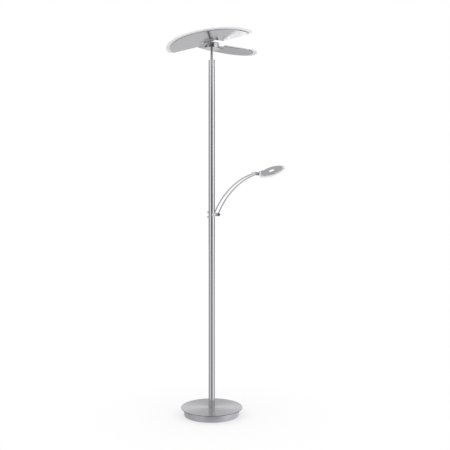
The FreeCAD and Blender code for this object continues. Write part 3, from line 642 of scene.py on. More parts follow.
@dataclass
class Studio:
    """Floor, white surroundings, lamps and camera.

    Metal sees tall soft lights on both sides, a dark gap between them on the camera's side, grey
    flanks and a pale back. Each stop gives an angle from the camera's side towards +X in degrees, and
    the brightness there, for level and rising directions and for the floor. Close to the base the
    floor has brightnesses of its own. Higher up a pale band runs round, and over it the ceiling is
    darker, so that brushed metal shows its fans.
    """

    camera_at: tuple[float, float, float] = (0.0606, -3.02, 0.910)
    focal_px: float = 662.5
    picture_px: float = 450.0
    horizon_px: float = 215.0
    sensor_mm: float = 36.0
    floor_half: float = 14.0
    floor_tone: float = 0.93
    floor_roughness: float = 0.9
    shadow_from: float = 0.16
    shadow_to: float = 0.6
    shadow_share: float = 0.35
    fill: float = 0.88
    cool: float = 1.01
    box_distance: float = 3.6
    box_width: float = 2.4
    box_height: float = 2.4
    box_azimuth: float = 52.0
    box_rise: float = 1.9
    box_aim: float = 0.6
    box_level: float = 1.35
    around: tuple[tuple[float, float, float], ...] = (
        (-180, 0.50, 0.88), (-150, 0.46, 0.88), (-112, 0.42, 0.50), (-74, 0.44, 0.44), (-62, 1.15, 0.92),
        (-26, 1.10, 0.86), (-16, 0.05, 0.30), (30, 0.05, 0.30), (43, 1.45, 1.15), (60, 1.70, 1.35),
        (80, 1.60, 1.25), (92, 0.14, 0.26), (140, 0.34, 0.50), (152, 0.44, 0.88), (180, 0.50, 0.88),
    )
    near: tuple[tuple[float, float], ...] = (
        (-180, 0.75), (-120, 0.68), (-56, 0.80), (0, 0.86), (39, 1.02), (81, 1.14), (126, 0.88), (180, 0.75),
    )
    near_from: float = 0.16
    near_to: float = 0.32
    above: tuple[tuple[float, float], ...] = ((0.26, 1.15), (0.33, 1.15), (0.45, 0.55), (1.0, 0.60))
    above_from: float = 0.21
    above_to: float = 0.26

    def build(self) -> None:
        """Make the whole studio."""
        self.camera()
        self.floor()
        self.surroundings()
        self.softbox("softbox_left", -self.box_azimuth)
        self.softbox("softbox_right", self.box_azimuth)

    def camera(self) -> None:
        """Level camera whose picture is shifted to the photograph's horizon."""
        data = bpy.data.cameras.new("camera")
        camera = bpy.data.objects.new("camera", data)
        bpy.context.scene.collection.objects.link(camera)
        camera.location = self.camera_at
        camera.rotation_euler = (math.radians(90), 0, 0)
        data.sensor_width = self.sensor_mm
        data.lens = self.sensor_mm * self.focal_px / self.picture_px
        data.shift_y = -(self.picture_px / 2 - self.horizon_px) / self.picture_px
        bpy.context.scene.camera = camera

    def seen_in_metal(self, graph: Graph, parts: bpy.types.NodeOutputs,
                      levels: Iterable[tuple[float, float]]) -> Socket:
        """Brightness of the surroundings by the angle about the lamp.

        Args:
            graph: Nodes to write in.
            parts: Way or place, with its X and Y.
            levels: Angles in degrees and their brightnesses.

        Returns:
            Colour output.
        """
        angle = graph.math("ARCTAN2", parts["X"], graph.math("MULTIPLY", parts["Y"], -1.0))
        turn = graph.math("ADD", graph.math("DIVIDE", angle, math.tau), 0.5)
        stops = [(degrees / 360 + 0.5, (tone, tone, tone * self.cool)) for degrees, tone in levels]
        return graph.ramp(turn, stops)

    def floor(self) -> None:
        """Pale floor that is white far away and keeps the lamp's shadow."""
        Work.clear()
        bpy.ops.mesh.primitive_plane_add(size=2 * self.floor_half, location=(0, 0, 0))
        floor = bpy.context.object
        floor.name = "studio_floor"
        graph = Surface("studio_floor")
        tone = self.floor_tone
        graph.finish({"Base Color": (tone, tone, tone, 1), "Roughness": self.floor_roughness,
                      "Specular IOR Level": 0.0})
        coords = graph.node("TexCoord").outputs["Object"]
        distance = graph.length(coords)
        path = graph.node("LightPath").outputs
        far = graph.remap(distance, self.shadow_from, self.shadow_to, 1 - self.shadow_share)
        white = graph.node("Emission", {"Color": PURE_WHITE, "Strength": 1.0})
        seen = graph.math("MULTIPLY", far, path["Is Camera Ray"])
        eye = graph.node("MixShader", {0: seen, 1: graph.shader.outputs[0], 2: white.outputs[0]})
        parts = graph.node("SeparateXYZ", {0: coords}).outputs
        close = graph.remap(distance, self.near_from, self.near_to)
        wide = self.seen_in_metal(graph, parts, [(degrees, tone) for degrees, _, tone in self.around])
        tones = graph.blend(close, self.seen_in_metal(graph, parts, self.near), wide)
        mirrored = graph.node("Emission", {"Color": tones, "Strength": 1.0})
        both = graph.node("MixShader", {0: path["Is Glossy Ray"], 1: eye.outputs[0], 2: mirrored.outputs[0]})
        graph.links.new(both.outputs[0], graph.output.inputs["Surface"])
        floor.data.materials.append(graph.material)

    def surroundings(self) -> None:
        """World that is white for the eye, plain for matt surfaces and toned for metal."""
        world = bpy.data.worlds.new("studio")
        bpy.context.scene.world = world
        world.use_nodes = True
        graph = Graph(world.node_tree)
        path = graph.node("LightPath").outputs
        parts = graph.node("SeparateXYZ", {0: graph.node("TexCoord").outputs["Generated"]}).outputs
        tones = self.seen_in_metal(graph, parts, [(degrees, tone) for degrees, tone, _ in self.around])
        rise = graph.remap(parts["Z"], self.above_from, self.above_to)
        band = graph.ramp(parts["Z"], [(height, (tone, tone, tone)) for height, tone in self.above])
        metal = graph.blend(rise, tones, band)
        unseen = graph.blend(path["Is Glossy Ray"], (self.fill, self.fill, self.fill, 1), metal)
        color = graph.blend(path["Is Camera Ray"], unseen, PURE_WHITE)
        graph.feed(graph.nodes["Background"].inputs["Color"], color)
        graph.nodes["Background"].inputs["Strength"].default_value = 1.0

    def softbox(self, name: str, azimuth: float) -> None:
        """Soft light beside the camera.

        Args:
            name: Name of the light.
            azimuth: Degrees from the camera's side towards +X.
        """
        data = bpy.data.lights.new(name, "AREA")
        data.shape = "RECTANGLE"
        data.size = self.box_width
        data.size_y = self.box_height
        data.energy = self.box_level * math.pi * self.box_width * self.box_height
        light = bpy.data.objects.new(name, data)
        bpy.context.scene.collection.objects.link(light)
        turn = math.radians(azimuth)
        place = Vector((math.sin(turn), -math.cos(turn), 0)) * self.box_distance
        place.z = self.box_rise
        light.location = place
        aim = Z_AXIS * self.box_aim - place
        light.rotation_euler = aim.to_track_quat("-Z", "Y").to_euler()
        light.visible_glossy = False


class Work:
    """One mesh on the bench, shaped with Blender's edit tools and drawn in its own frame."""

    def __init__(self, obj: bpy.types.Object, name: str) -> None:
        """Take the new object, with its place moved into its mesh.

        Args:
            obj: Object that a primitive or a copy has just made.
            name: Name of the piece.
        """
        self.obj = obj
        obj.name = name
        obj.data.name = name
        self.set_down(Matrix.Identity(4))

    @staticmethod
    def clear() -> None:
        """Leave nothing selected."""
        bpy.ops.object.select_all(action="DESELECT")

    @classmethod
    def circle(cls, name: str, radius: float, spot: Vector, sides: int, axis: Vector = Z_AXIS,
               filled: bool = False) -> "Work":
        """Start with a circle about an axis.

        Args:
            name: Name of the piece.
            radius: Radius of the circle.
            spot: Centre of the circle.
            sides: Number of its corners.
            axis: Direction that the circle faces.
            filled: Whether the circle is a face.

        Returns:
            The new work.
        """
        cls.clear()
        fill = "NGON" if filled else "NOTHING"
        bpy.ops.mesh.primitive_circle_add(vertices=sides, radius=radius, fill_type=fill, location=spot,
                                          rotation=at(ORIGIN, axis).to_euler())
        return cls(bpy.context.object, name)

    @classmethod
    def point(cls, name: str, spot: Vector) -> "Work":
        """Start with one corner, from which an outline is drawn.

        Args:
            name: Name of the piece.
            spot: Place of the corner.

        Returns:
            The new work.
        """
        cls.clear()
        bpy.ops.mesh.primitive_plane_add(size=MM, location=spot)
        work = cls(bpy.context.object, name)
        with work.editing():
            bpy.ops.mesh.merge(type="CENTER")
        return work

    @classmethod
    def box(cls, name: str, low: Corner, high: Corner) -> "Work":
        """Start with a box between two corners.

        Args:
            name: Name of the piece.
            low: Corner with the least coordinates.
            high: Corner with the greatest coordinates.

        Returns:
            The new work.
        """
        cls.clear()
        middle = [(a + b) / 2 for a, b in zip(low, high)]
        size = [b - a for a, b in zip(low, high)]
        bpy.ops.mesh.primitive_cube_add(size=1, location=middle, scale=size)
        return cls(bpy.context.object, name)

    @classmethod
    def turned(cls, name: str, profile: Sequence[Ring], sides: int) -> "Work":
        """Turn a profile about Z, as on a lathe.

        Args:
            name: Name of the piece.
            profile: Radius and height of each ring. A profile that ends where it starts makes a ring
                or a tube, and any other is closed with flat ends.
            sides: Number of faces round the piece.

        Returns:
            The new work.
        """
        first_r, first_z = profile[0]
        work = cls.circle(name, first_r, Z_AXIS * first_z, sides)
        with work.editing():
            for (radius, height), (next_r, next_z) in zip(profile, profile[1:]):
                bpy.ops.mesh.extrude_edges_move(TRANSFORM_OT_translate={"value": (0, 0, next_z - height)})
                grow = next_r / radius
                bpy.ops.transform.resize(value=(grow, grow, 1), center_override=(0, 0, next_z))
            work.merge()
            bpy.ops.mesh.fill_holes(sides=0)
            bpy.ops.mesh.normals_make_consistent(inside=False)
        return work

    @classmethod
    def copied(cls, name: str, node: bpy.types.Object) -> "Work":
        """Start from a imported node's own shape, merged, with its flat faces whole.

        Args:
            name: Name of the piece.
            node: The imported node.

        Returns:
            The new work.
        """
        cls.clear()
        obj = bpy.data.objects.new(name, node.data.copy())
        bpy.context.scene.collection.objects.link(obj)
        work = cls(obj, name)
        with work.editing():
            work.merge()
            bpy.ops.mesh.dissolve_limited(angle_limit=math.radians(FLAT_DEGREES))
            bpy.ops.mesh.normals_make_consistent(inside=False)
        return work

    @contextmanager
    def editing(self) -> Iterator[None]:
        """Open this mesh alone in edit mode, with all of it selected.

        Returns:
            Context that ends in object mode.
        """
        self.hold()
        bpy.ops.object.mode_set(mode="EDIT")
        bpy.ops.mesh.select_all(action="SELECT")
        yield
        bpy.ops.object.mode_set(mode="OBJECT")

    def hold(self) -> None:
        """Make this the one selected and active object."""
        self.clear()
        self.obj.select_set(True)
        bpy.context.view_layer.objects.active = self.obj

    def merge(self) -> None:
        """Select all and merge corners that meet, in edit mode."""
        bpy.ops.mesh.select_all(action="SELECT")
        bpy.ops.mesh.remove_doubles(threshold=MERGE)

    def pick_faces(self, test: Callable[[Vector, Vector], bool]) -> None:
        """Select the faces whose middle and normal pass a test, in edit mode.

        Args:
            test: Function of a face's middle and its normal.
        """
        bpy.ops.mesh.select_mode(type="FACE")
        bpy.ops.mesh.select_all(action="DESELECT")
        mesh = bmesh.from_edit_mesh(self.obj.data)
        for face in mesh.faces:
            if test(face.calc_center_median(), face.normal):
                face.select_set(True)
        bmesh.update_edit_mesh(self.obj.data)

    def draw(self, move: Vector) -> None:
        """Draw an outline's open end straight on, in edit mode."""
        bpy.ops.mesh.extrude_vertices_move(TRANSFORM_OT_translate={"value": move})

    def bend(self, centre: Vector, turn: float, steps: int, axis: Vector = Z_AXIS) -> None:
        """Draw an outline's open end, or extrude a selected face, round an axis, in edit mode.

        Args:
            centre: Point that the axis goes through.
            turn: Angle, anticlockwise seen against the axis.
            steps: Number of steps that make the bend.
            axis: Direction of the axis.
        """
        bpy.ops.mesh.spin(steps=steps, angle=-turn, center=centre, axis=axis, use_auto_merge=False)

    def pull(self, move: Vector) -> None:
        """Extrude what is selected by a distance, in edit mode."""
        bpy.ops.mesh.extrude_region_move(TRANSFORM_OT_translate={"value": move})

    def combine(self, other: "Work", deed: Deed) -> "Work":
        """Combine this work with another, and throw that one away.

        Args:
            other: The other work.
            deed: What the other one does to this one.

        Returns:
            This work.
        """
        modifier = self.obj.modifiers.new("combine", "BOOLEAN")
        modifier.operation = deed.value
        modifier.solver = "EXACT"
        modifier.object = other.obj
        self.apply(modifier)
        bpy.data.objects.remove(other.obj)
        return self

    def cut_away(self, cutter: "Work") -> "Work":
        """Take another work's shape out of this one."""
        return self.combine(cutter, Deed.CUT)

    def fuse(self, other: "Work") -> "Work":
        """Add another work's shape to this one."""
        return self.combine(other, Deed.FUSE)

    def join(self, others: Iterable["Work"]) -> "Work":
        """Make other works part of this mesh.

        Args:
            others: The other works.

        Returns:
            This work.
        """
        self.hold()
        for other in others:
            other.obj.select_set(True)
        bpy.ops.object.join()
        return self

    def ease(self, width: float, segments: int = 2) -> "Work":
        """Round every sharp edge a little.

        Args:
            width: Width of the rounding.
            segments: Number of faces across it.

        Returns:
            This work.
        """
        modifier = self.obj.modifiers.new("ease", "BEVEL")
        modifier.width = width
        modifier.segments = segments
        modifier.limit_method = "ANGLE"
        modifier.angle_limit = math.radians(SHARP_DEGREES)
        modifier.miter_outer = "MITER_ARC"
        return self.apply(modifier)

    def apply(self, modifier: bpy.types.Modifier) -> "Work":
        """Apply a modifier to the mesh.

        Args:
            modifier: The modifier, one of this object's.

        Returns:
            This work.
        """
        self.hold()
        bpy.ops.object.modifier_apply(modifier=modifier.name)
        return self

    def set_down(self, place: Matrix) -> "Work":
        """Move the drawing to its place in the lamp, and keep the object at the origin.

        Args:
            place: Matrix from the drawing to the lamp.

        Returns:
            This work.
        """
        self.hold()
        self.obj.matrix_world = place @ self.obj.matrix_world
        bpy.ops.object.transform_apply(location=True, rotation=True, scale=True)
        return self

    def copy(self, name: str, place: Matrix) -> "Work":
        """Copy this piece, with a mesh of its own, to another place.

        Args:
            name: Name of the copy.
            place: Move from here to there.

        Returns:
            The copy.
        """
        twin = self.obj.copy()
        twin.data = self.obj.data.copy()
        bpy.context.scene.collection.objects.link(twin)
        return Work(twin, name).set_down(place)

    def hand_over(self, body: Body, slot: Slot, material: bpy.types.Material, *nodes: str) -> None:
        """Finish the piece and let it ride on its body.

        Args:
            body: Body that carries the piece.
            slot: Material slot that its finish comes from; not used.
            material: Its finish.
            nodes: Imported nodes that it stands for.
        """
        self.hold()
        bpy.ops.object.shade_smooth_by_angle(angle=math.radians(SHARP_DEGREES))
        flats = self.obj.modifiers.new("flats", "WEIGHTED_NORMAL")
        flats.keep_sharp = True
        self.apply(flats)
        self.obj.data.materials.clear()
        self.obj.data.materials.append(material)
        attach(self.obj, body.value)
        if nodes:
            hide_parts(*nodes)
        LOG.info("%s: %d faces on %s", self.obj.name, len(self.obj.data.polygons), body.value)


@dataclass(frozen=True)
class Cross:
    """Cross recess in a screw's head.

    Fields give half the length of the cross and its depth, half the width of an arm as a share of the
    one, how far the cutter stands out as a share of the other, and how deep the second arm goes.
    """

    half: float
    depth: float
    arm_share: float = 0.28
    over_share: float = 0.5
    second_share: float = 0.98

    def screw(self, name: str, profile: Sequence[Ring], face: float, into: Vector) -> Work:
        """Turn a screw about Z and cut the recess into its head.

        Args:
            name: Name of the screw.
            profile: Radius and height of each ring.
            face: Height of the head's face.
            into: Direction into the head.

        Returns:
            The screw.
        """
        screw = Work.turned(name, profile, SCREW_SIDES)
        arm = self.half * self.arm_share
        over = self.depth * self.over_share
        second = self.depth * self.second_share
        cutter = Work.box("cross", (-self.half, -arm, -over), (self.half, arm, self.depth))
        cutter.fuse(Work.box("cross_arm", (-arm, -self.half, -over), (arm, self.half, second)))
        return screw.cut_away(cutter.set_down(at(Z_AXIS * face, into))).ease(SCREW_EDGE, CHAMFER)


@dataclass
class Base:
    """Brushed plate on a drum, with the cable inlet and the screws under it."""

    plate_r: float = 140 * MM
    plate_edge: float = 0.6 * MM
    shell_r: float = 126 * MM
    shell_edge: float = 0.8 * MM
    wall: float = 1.5 * MM
    stud_hole_r: float = 5.05 * MM
    inlet_hole_r: float = 6.05 * MM
    inlet_z: float = 18 * MM
    inlet_bore_r: float = 3.5 * MM
    inlet_body_r: float = 6 * MM
    inlet_edge: float = 0.25 * MM
    inlet_nut_across: float = 16 * MM
    inlet_nut_t: float = 4 * MM
    inlet_nut_edge: float = 0.3 * MM
    flange_r: float = 9 * MM
    flange_t: float = 2.5 * MM
    nose_r: float = 6.5 * MM
    nose_tip_r: float = 5 * MM
    grooves: int = 3
    groove_depth: float = 0.6 * MM
    groove_shares: tuple[float, ...] = (0.2, 0.23, 0.3)
    screws: int = 3
    screw_ring_r: float = 84 * MM
    screw_face_r: float = 2.4 * MM
    screw_head_r: float = 3.8 * MM
    screw_r: float = 2 * MM
    screw_cross: Cross = Cross(1.6 * MM, 0.9 * MM)
    sides: int = 192
    inlet_sides: int = 48

    def build(self) -> None:
        """Make the base's visible pieces."""
        self.top_plate()
        self.shell()
        self.inlet()
        self.cover_screws()

    def top_plate(self) -> None:
        """Thin round plate, a little wider than the drum, with painted shade darkening its edge."""
        low, high = (corner.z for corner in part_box("base_top_plate"))
        profile = ring_profile(self.stud_hole_r, self.plate_r, low, high)
        plate = Work.turned("base_plate", profile, self.sides).ease(self.plate_edge, ROUNDING)
        # Painted shade: the plate's edge and the part below it get only a share of the colour.
        finish = replace(BRUSHED, name="brushed_plate", painted_shade_below=high - self.plate_edge / 2)
        plate.hand_over(Body.STAND, Slot.BRUSHED, finish.material(), "base_top_plate")

    def shell(self) -> None:
        """Deep-drawn drum, open below, with a hole for the cable at its back."""
        low, high = (corner.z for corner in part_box("base_shell"))
        inner_r = self.shell_r - self.wall
        profile = [(self.shell_r, low), (self.shell_r, high), (self.stud_hole_r, high),
                   (self.stud_hole_r, high - self.wall), (inner_r, high - self.wall), (inner_r, low),
                   (self.shell_r, low)]
        shell = Work.turned("base_drum", profile, self.sides)
        bore = [(self.inlet_hole_r, 0), (self.inlet_hole_r, self.shell_r)]
        hole = Work.turned("hole", bore, self.inlet_sides)
        hole.set_down(at(Vector((0, self.shell_r / 2, self.inlet_z)), Y_AXIS))
        shell.cut_away(hole).ease(self.shell_edge, ROUNDING)
        shell.hand_over(Body.STAND, Slot.BRUSHED, DRUM.material(), "base_shell")

    def inlet(self) -> None:
        """Grooved nose with a bore, and the nut that holds it in the drum's wall."""
        place = at(Z_AXIS * self.inlet_z, Y_AXIS)
        low, high = (corner.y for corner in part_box("cable_inlet"))
        nose_base = self.shell_r + self.flange_t
        nose = high - nose_base
        profile = [(self.inlet_bore_r, low), (self.inlet_body_r, low), (self.inlet_body_r, self.shell_r),
                   (self.flange_r, self.shell_r), (self.flange_r, nose_base)]
        for step in range(self.grooves):
            start = nose_base + nose * step / self.grooves
            outer = self.nose_r - (self.nose_r - self.nose_tip_r) * step / self.grooves
            land, floor, end = (start + nose * share for share in self.groove_shares)
            profile += [(outer, start), (outer, land), (outer - self.groove_depth, floor),
                        (outer - self.groove_depth, end)]
        profile += [(self.nose_tip_r, high), (self.inlet_bore_r, high), (self.inlet_bore_r, low)]
        black = BLACK.material()
        inlet = Work.turned("cable_inlet_nose", profile, self.inlet_sides).ease(self.inlet_edge)
        inlet.set_down(place).hand_over(Body.STAND, Slot.BLACK, black, "cable_inlet")
        rim = hexagon_r(self.inlet_nut_across)
        seat = math.sqrt((self.shell_r - self.wall) ** 2 - rim ** 2)
        ring = ring_profile(self.inlet_body_r, rim, seat - self.inlet_nut_t, seat)
        nut = Work.turned("cable_inlet_nut", ring, HEXAGON).ease(self.inlet_nut_edge, CHAMFER)
        nut.set_down(place).hand_over(Body.STAND, Slot.BLACK, black, "cable_inlet")

    def cover_screws(self) -> None:
        """Screws with coned heads and cross recesses, evenly round the cover."""
        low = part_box("base_cover_screws")[0].z
        pad_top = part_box("base_foot_pad")[1].z
        profile = [(self.screw_face_r, low), (self.screw_head_r, pad_top), (self.screw_r, pad_top),
                   (self.screw_r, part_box("base_cover_screws")[1].z)]
        model = self.screw_cross.screw("cover_screw_1", profile, low, Z_AXIS)
        model.set_down(Matrix.Translation((0, -self.screw_ring_r, 0)))
        screws = [model]
        for index in range(1, self.screws):
            turn = Matrix.Rotation(math.tau * index / self.screws, 4, "Z")
            screws.append(model.copy(f"cover_screw_{index + 1}", turn))
        for screw in screws:
            screw.hand_over(Body.STAND, Slot.PLATED, PLATED.material(), "base_cover_screws")


@dataclass
class Pole:
    """Two tubes with a bright ring between them, and the flat cap."""

    radius: float = 14.5 * MM
    wall: float = 1.5 * MM
    chamfer: float = 0.25 * MM
    ring_r: float = 14.45 * MM
    ring_edge: float = 0.1 * MM
    ring_bore_r: float = 9 * MM
    sleeve_r: float = 12.95 * MM
    rod_hole_r: float = 5.55 * MM
    cap_t: float = 1.5 * MM
    cap_edge: float = 0.5 * MM
    sides: int = 128

    def build(self) -> None:
        """Make the pole's visible pieces."""
        metal = POLE_METAL.material()
        for node, name in (("lower_pole", "pole_lower_tube"), ("upper_pole", "pole_upper_tube")):
            self.tube(node, name, metal)
        self.coupling()
        self.cap(metal)

    def tube(self, node: str, name: str, metal: bpy.types.Material) -> None:
        """Round tube with its ends' edges broken.

        Args:
            node: Packed tube that gives the ends.
            name: Name of the piece.
            metal: Finish of the tube.
        """
        low, high = (corner.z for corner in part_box(node))
        profile = ring_profile(self.radius - self.wall, self.radius, low, high)
        tube = Work.turned(name, profile, self.sides).ease(self.chamfer)
        tube.hand_over(Body.STAND, Slot.POLISHED, metal, node)

    def coupling(self) -> None:
        """Sleeve inside both tubes, with the ring that shows between them."""
        low, high = (corner.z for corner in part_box("pole_coupling"))
        ring_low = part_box("lower_pole")[1].z
        ring_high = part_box("upper_pole")[0].z
        profile = [(self.ring_bore_r, low), (self.sleeve_r, low), (self.sleeve_r, ring_low),
                   (self.ring_r, ring_low), (self.ring_r, ring_high), (self.sleeve_r, ring_high),
                   (self.sleeve_r, high), (self.ring_bore_r, high), (self.ring_bore_r, low)]
        ring = Work.turned("pole_joint_ring", profile, self.sides).ease(self.ring_edge, CHAMFER)
        ring.hand_over(Body.STAND, Slot.BRIGHT, BRIGHT.material(), "pole_coupling")

    def cap(self, metal: bpy.types.Material) -> None:
        """Flat cap with its plug in the tube, bored for the thin rod.

        Args:
            metal: Finish of the piece.
        """
        low, high = (corner.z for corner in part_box("pole_top_cap"))
        under = high - self.cap_t
        profile = [(self.rod_hole_r, low), (self.sleeve_r, low), (self.sleeve_r, under), (self.radius, under),
                   (self.radius, high), (self.rod_hole_r, high), (self.rod_hole_r, low)]
        cap = Work.turned("pole_cap", profile, self.sides).ease(self.cap_edge, ROUNDING)
        cap.hand_over(Body.STAND, Slot.POLISHED, metal, "pole_top_cap")


@dataclass
class Hub:
    """Drum on the thin rod that carries both wings on hinge pins."""

    hinge: Vector
    side: Vector
    radius: float = 35.5 * MM
    wall: float = 2 * MM
    floor: float = 2.5 * MM
    lid_edge: float = 0.8 * MM
    cup_edge: float = 0.48 * MM
    rod_r: float = 5.5 * MM
    rod_bore_r: float = 3.6 * MM
    rod_edge: float = 0.2 * MM
    tenon_r: float = 4.6 * MM
    tenon_l: float = 9 * MM
    boss_r: float = 8 * MM
    boss_in: float = 29 * MM
    boss_out: float = 38 * MM
    pin_r: float = 3 * MM
    pin_end: float = 23 * MM
    pin_edge: float = 0.15 * MM
    nut_across: float = 11 * MM
    nut_t: float = 4.5 * MM
    nut_edge: float = 0.3 * MM
    washer_t: float = 1 * MM
    washer_edge: float = 0.2 * MM
    spring_in: float = 41.7 * MM
    spring_r: float = 6 * MM
    head_r: float = 5.5 * MM
    head_t: float = 3.5 * MM
    head_edge: float = 1 * MM
    socket: float = 4.6 * MM
    socket_depth: float = 2 * MM
    lid_screw_at: float = 26 * MM
    lid_screw_l: float = 11 * MM
    lid_screw_r: float = 1.5 * MM
    lid_screw_head_r: float = 2.8 * MM
    lid_screw_face_r: float = 2.2 * MM
    lid_screw_slope: float = 0.5 * MM
    lid_screw_cross: Cross = Cross(1.4 * MM, 0.8 * MM)
    drum_sides: int = 128
    rod_sides: int = 64
    pin_sides: int = 48

    def build(self) -> None:
        """Make the hub's visible pieces."""
        metal = HUB_METAL.material()
        self.rod(ROD_METAL.material())
        self.drum(metal)
        self.lid(metal)
        self.lid_screws()
        self.hinge_pins()

    def rod(self, metal: bpy.types.Material) -> None:
        """Hollow rod with the tenon that goes through the drum's floor.

        Args:
            metal: Finish of the piece.
        """
        low, high = (corner.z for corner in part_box("neck_rod"))
        shoulder = high - self.tenon_l
        profile = [(self.rod_bore_r, low), (self.rod_r, low), (self.rod_r, shoulder),
                   (self.tenon_r, shoulder), (self.tenon_r, high), (self.rod_bore_r, high),
                   (self.rod_bore_r, low)]
        rod = Work.turned("neck_tube", profile, self.rod_sides).ease(self.rod_edge)
        rod.hand_over(Body.STAND, Slot.POLISHED, metal, "neck_rod")

    def drum(self, metal: bpy.types.Material) -> None:
        """Round cup with the two hinge bosses.

        Args:
            metal: Finish of the piece.
        """
        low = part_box("hub_drum")[0].z
        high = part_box("hub_lid")[0].z
        inner = self.radius - self.wall
        profile = [(self.tenon_r, low), (self.radius, low), (self.radius, high), (inner, high),
                   (inner, low + self.floor), (self.tenon_r, low + self.floor), (self.tenon_r, low)]
        drum = Work.turned("hub_cup", profile, self.drum_sides)
        ring = ring_profile(self.pin_r, self.boss_r, self.boss_in, self.boss_out)
        bosses = [Work.turned("boss", ring, self.pin_sides).set_down(at(self.hinge, self.side * sign))
                  for sign in (-1, 1)]
        drum.join(bosses).ease(self.cup_edge, ROUNDING)
        drum.hand_over(Body.STAND, Slot.POLISHED, metal, "hub_drum")

    def lid(self, metal: bpy.types.Material) -> None:
        """Flat lid with an eased edge.

        Args:
            metal: Finish of the piece.
        """
        low, high = (corner.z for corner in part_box("hub_lid"))
        lid = Work.turned("hub_top", [(self.radius, low), (self.radius, high)], self.drum_sides)
        lid.ease(self.lid_edge, ROUNDING).hand_over(Body.STAND, Slot.POLISHED, metal, "hub_lid")

    def lid_screws(self) -> None:
        """Two pan-head screws with cross recesses."""
        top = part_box("hub_lid_screws")[1].z
        lid_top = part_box("hub_lid")[1].z
        profile = [(self.lid_screw_r, lid_top - self.lid_screw_l), (self.lid_screw_r, lid_top),
                   (self.lid_screw_head_r, lid_top), (self.lid_screw_head_r, top - self.lid_screw_slope),
                   (self.lid_screw_face_r, top)]
        split = self.side.cross(Z_AXIS)
        model = self.lid_screw_cross.screw("hub_screw_1", profile, top, -Z_AXIS)
        model.set_down(Matrix.Translation(split * self.lid_screw_at))
        twin = model.copy("hub_screw_2", Matrix.Translation(split * -2 * self.lid_screw_at))
        for screw in (model, twin):
            screw.hand_over(Body.STAND, Slot.PLATED, PLATED.material(), "hub_lid_screws")

    def hinge_pins(self) -> None:
        """On each side a socket-head pin with its nut, its friction washer and its spring washer."""
        head_in = self.spring_in + self.washer_t
        head_out = head_in + self.head_t
        pin = [(self.pin_r, self.pin_end), (self.pin_r, head_in), (self.head_r, head_in),
               (self.head_r, head_out - self.head_edge), (self.head_r - self.head_edge, head_out)]
        nut = ring_profile(self.pin_r, hexagon_r(self.nut_across), self.boss_in - self.nut_t, self.boss_in)
        rim = hexagon_r(self.socket)
        washers = (("_friction_washer", self.boss_out, self.boss_r, "wing_friction_washers"),
                   ("_spring_washer", self.spring_in, self.spring_r, "wing_spring_washers"))
        for label, sign in (("near", -1), ("far", 1)):
            place = at(self.hinge, self.side * sign)
            metal = PLATED.material(place)
            work = Work.turned(label + "_hinge_pin", pin, self.pin_sides)
            socket = Work.turned("socket", [(rim, -self.socket_depth / 2), (rim, self.socket_depth)], HEXAGON)
            socket.set_down(at(Z_AXIS * head_out, -Z_AXIS))
            work.cut_away(socket).ease(self.pin_edge, CHAMFER).set_down(place)
            work.hand_over(Body.STAND, Slot.PLATED, PIN.material(place), "wing_hinge_pins")
            work = Work.turned(label + "_hinge_nut", nut, HEXAGON).ease(self.nut_edge).set_down(place)
            work.hand_over(Body.STAND, Slot.PLATED, metal, "wing_hinge_pins")
            for name, start, radius, node in washers:
                ring = ring_profile(self.pin_r, radius, start, start + self.washer_t)
                work = Work.turned(label + name, ring, self.pin_sides).ease(self.washer_edge).set_down(place)
                work.hand_over(Body.STAND, Slot.PLATED, metal, node)


